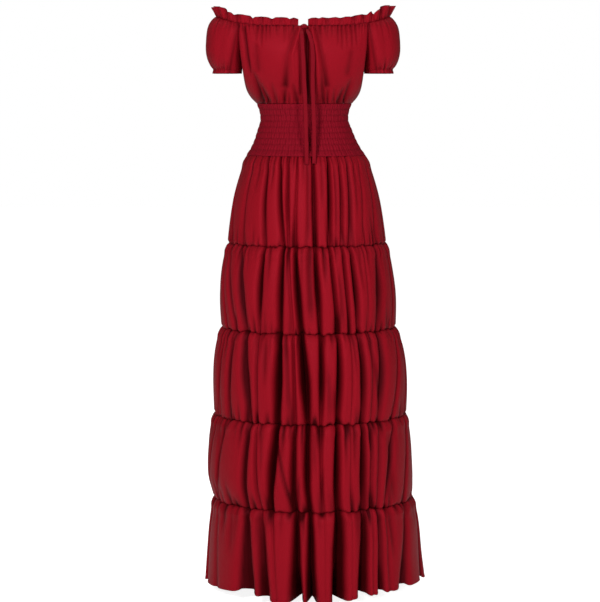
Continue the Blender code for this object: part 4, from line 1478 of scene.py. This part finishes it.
STRING_ROUTES = {
    # x, y, z of points down the middle of each end
    "drawstring_end_left": ((0.0082, -0.1168, -0.0325), (0.0112, -0.124, -0.04), (0.015, -0.1288, -0.048),
        (0.0205, -0.1328, -0.072), (0.0222, -0.1338, -0.105), (0.0215, -0.1322, -0.142),
        (0.0222, -0.129, -0.18), (0.0238, -0.1265, -0.22), (0.025, -0.125, -0.26), (0.0252, -0.124, -0.3),
        (0.025, -0.1232, -0.335)),
    "drawstring_end_right": ((-0.0026, -0.1158, -0.032), (-0.0034, -0.1222, -0.04),
        (-0.0032, -0.1272, -0.048), (-0.0015, -0.133, -0.072), (0.0005, -0.1342, -0.105),
        (0.002, -0.1326, -0.142), (0.004, -0.1296, -0.18), (0.0055, -0.1272, -0.22),
        (0.0065, -0.1258, -0.26), (0.0075, -0.1248, -0.3), (0.0085, -0.124, -0.337)),
}


@dataclass
class Drawstring:
    """The tie at the foot of the notch: a knot and two flat self-fabric ends."""

    width: float = 0.0098
    thickness: float = 0.0016
    rings: int = 90
    section: int = 16
    knot_rings: int = 34
    knot_section: int = 56
    knot_centre: tuple[float, float, float] = (0.0022, -0.1133, -0.0264)
    knot_half_size: tuple[float, float, float] = (0.0078, 0.0056, 0.0056)
    twists: tuple[tuple[str, float], ...] = (("drawstring_end_left", 16.0),
                                             ("drawstring_end_right", -13.0))

    def route(self, points: Sequence[Sequence[float]]) -> Array:
        """Run a smooth curve through given points (Catmull-Rom).

        Args:
            points: the places that it passes.

        Returns:
            Points evenly along it.
        """
        route = np.array(points)
        ends = np.concatenate([2.0 * route[:1] - route[1:2], route, 2.0 * route[-1:] - route[-2:-1]])
        t = np.linspace(0.0, 1.0, 24, endpoint=False)[:, None]
        fine = []
        for k in range(len(route) - 1):
            p0, p1, p2, p3 = ends[k:k + 4]
            fine.append(0.5 * (2.0 * p1 + (p2 - p0) * t + (2.0 * p0 - 5.0 * p1 + 4.0 * p2 - p3) * t**2
                               + (3.0 * p1 - p0 - 3.0 * p2 + p3) * t**3))
        line = np.concatenate(fine + [route[-1:]])
        lengths = lengths_along(line)
        return read_along(line, lengths, np.linspace(0.0, lengths[-1], self.rings))

    def tape(self, name: str, line: Array, twist: float) -> bpy.types.Mesh:
        """Lay a flat tape along a line, its section a flattened oval with folded edges.

        Args:
            name: mesh name.
            line: points down its middle.
            twist: degrees that it turns by on its way.

        Returns:
            Its mesh.
        """
        tangent = unit(np.gradient(line, axis=0))
        along = np.linspace(0.0, 1.0, len(line))
        lean = np.radians(twist * np.sin(math.pi * along * 1.3) - twist * 0.3)
        flat_way = unit(np.stack([np.cos(lean), np.sin(lean) * 0.8, np.zeros(len(line))], axis=1))
        out_way = unit(np.cross(tangent, flat_way))
        around = np.linspace(0.0, 2.0 * math.pi, self.section, endpoint=False)
        narrow = 1.0 - 0.45 * bell(along, 0.03) + 0.05 * np.sin(along * 31.0)
        x = np.sign(np.cos(around)) * np.abs(np.cos(around)) ** 0.5 * self.width / 2.0
        y = np.sign(np.sin(around)) * np.abs(np.sin(around)) ** 0.6 * self.thickness / 2.0
        y = y * (1.0 + 0.5 * (np.abs(x) / (self.width / 2.0)) ** 4)
        rings = (line[:, None] + flat_way[:, None] * (x[None] * narrow[:, None])[:, :, None]
                 + out_way[:, None] * y[None, :, None])
        # Painted shade on the folded edges of the tape and at its two end caps.
        hollow = np.append(np.tile(0.8 * np.abs(np.cos(around)) ** 4, len(line)), [0.6, 0.6])
        return capped_mesh(name, rings, line[[0, -1]], hollow)

    def knot(self, name: str) -> bpy.types.Mesh:
        """Make the knot, a pleated bead with one tight wrap round its middle.

        Args:
            name: mesh name.

        Returns:
            Its mesh.
        """
        tilt = np.linspace(0.0, math.pi, self.knot_rings + 2)[1:-1, None]
        turn = np.linspace(0.0, 2.0 * math.pi, self.knot_section, endpoint=False)[None, :]
        slant = 0.22 * np.sin(turn)
        size = 0.93 + 0.16 * bell(tilt - 1.55 - slant, 0.34) + 0.05 * np.cos(7.0 * turn + 3.0 * tilt)
        for crease in (1.02, 2.10):
            size = size - 0.10 * bell(tilt - crease - slant, 0.12)
        rings = oval_points(turn, np.sin(tilt) * size, np.sin(tilt) * size, 0.0, np.cos(tilt))
        poles = np.array([[0.0, 0.0, 1.0], [0.0, 0.0, -1.0]])
        half, centre = np.array(self.knot_half_size), np.array(self.knot_centre)
        return capped_mesh(name, rings * half + centre, poles * half + centre,
                           np.zeros(self.knot_rings * self.knot_section + 2))

    def build(self) -> None:
        knot = add_piece("drawstring_knot_cloth", self.knot("drawstring_knot_cloth"), TIE,
                         "drawstring_knot")
        for node, twist in self.twists:
            line = self.route(STRING_ROUTES[node])
            name = f"{node}_tape"
            piece = add_piece(name, self.tape(name, line, twist), TIE, node)


# Studio

@dataclass(frozen=True)
class SoftBox:
    """A large area light: name, place, point it faces, size in metres and power in watts."""

    name: str
    place: tuple[float, float, float]
    aim: tuple[float, float, float]
    size: float
    power: float

    def turn(self) -> tuple[float, float, float]:
        """Return the rotation that points the light's -Z at its aim."""
        x, y, z = np.array(self.aim) - np.array(self.place)
        return (math.atan2(math.hypot(x, y), -z), 0.0, math.atan2(y, x) - math.pi / 2.0)


@dataclass
class Studio:
    """Pale floor, even light and the camera at the picture's angle."""

    floor_z: float = -1.352
    floor_size: float = 30.0
    floor_colour: tuple[float, ...] = (0.93, 0.93, 0.93, 1.0)
    floor_glow: float = 0.87
    camera_place: tuple[float, float, float] = (-0.007, -4.15, -0.190)
    camera_tilt: float = 6.49
    lens: float = 106.0
    backdrop: float = 1.0
    ambient: float = 0.14
    boxes: tuple[SoftBox, ...] = (
        SoftBox("key", (-1.2, -4.4, 1.2), (0.0, 0.0, -0.65), 0.7, 165.0),
        SoftBox("fill", (1.7, -4.2, 0.5), (0.0, 0.0, -0.7), 0.7, 74.0),
        SoftBox("overhead", (0.0, 0.6, 3.4), (0.0, 0.3, -1.3), 3.0, 60.0),
    )

    def add_floor(self) -> None:
        """Add the floor, paler to the camera than in its own light."""
        half = self.floor_size / 2.0
        mesh = bpy.data.meshes.new("floor")
        corners = [(-half, -half), (half, -half), (half, half), (-half, half)]
        mesh.from_pydata([(x, y, self.floor_z) for x, y in corners], [], [(0, 1, 2, 3)])
        floor = bpy.data.objects.new("floor", mesh)
        bpy.context.scene.collection.objects.link(floor)
        paint = bpy.data.materials.new("floor_paint")
        paint.use_nodes = True
        bench = NodeBench(paint.node_tree)
        seen = bench.add("ShaderNodeLightPath", {}).outputs["Is Camera Ray"]
        bench.dress(bench.tree.nodes["Principled BSDF"], {
            "Base Color": self.floor_colour, "Roughness": 0.9, "Emission Color": WHITE,
            "Emission Strength": bench.maths("MULTIPLY", seen, self.floor_glow)})
        mesh.materials.append(paint)

    def add_world(self) -> None:
        """Add soft light from all round, behind a white backdrop that only the camera sees."""
        world = bpy.data.worlds.new("studio")
        world.use_nodes = True
        bench = NodeBench(world.node_tree)
        nodes = bench.tree.nodes
        ambient = bench.dress(nodes["Background"], {"Color": WHITE, "Strength": self.ambient})
        backdrop = bench.add("ShaderNodeBackground", {"Color": WHITE, "Strength": self.backdrop})
        seen = bench.add("ShaderNodeLightPath", {}).outputs["Is Camera Ray"]
        mix = bench.add("ShaderNodeMixShader", {0: seen, 1: ambient.outputs[0], 2: backdrop.outputs[0]})
        bench.dress(nodes["World Output"], {"Surface": mix.outputs[0]})
        bpy.context.scene.world = world

    def build(self) -> None:
        """Add the floor, the lights, the world and the camera."""
        scene = bpy.context.scene
        self.add_floor()
        for box in self.boxes:
            light = bpy.data.lights.new(box.name, "AREA")
            light.size = box.size
            light.energy = box.power
            lamp = bpy.data.objects.new(box.name, light)
            lamp.location = box.place
            lamp.rotation_euler = box.turn()
            scene.collection.objects.link(lamp)
        self.add_world()
        scene.view_settings.view_transform = "Standard"
        camera = bpy.data.cameras.new("camera")
        camera.lens = self.lens
        view = bpy.data.objects.new("camera", camera)
        view.location = self.camera_place
        view.rotation_euler = (math.radians(90.0 - self.camera_tilt), 0.0, 0.0)
        scene.collection.objects.link(view)
        scene.camera = view


def main() -> None:
    """Build the gown and the studio."""
    logging.basicConfig(level=logging.INFO, format="%(name)s: %(message)s")
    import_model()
    NeckFrill().build()
    Bodice().build()
    Sleeve().build()
    Waistband().build()
    Skirt().build()
    Drawstring().build()
    Studio().build()


if __name__ == "__main__":
    main()
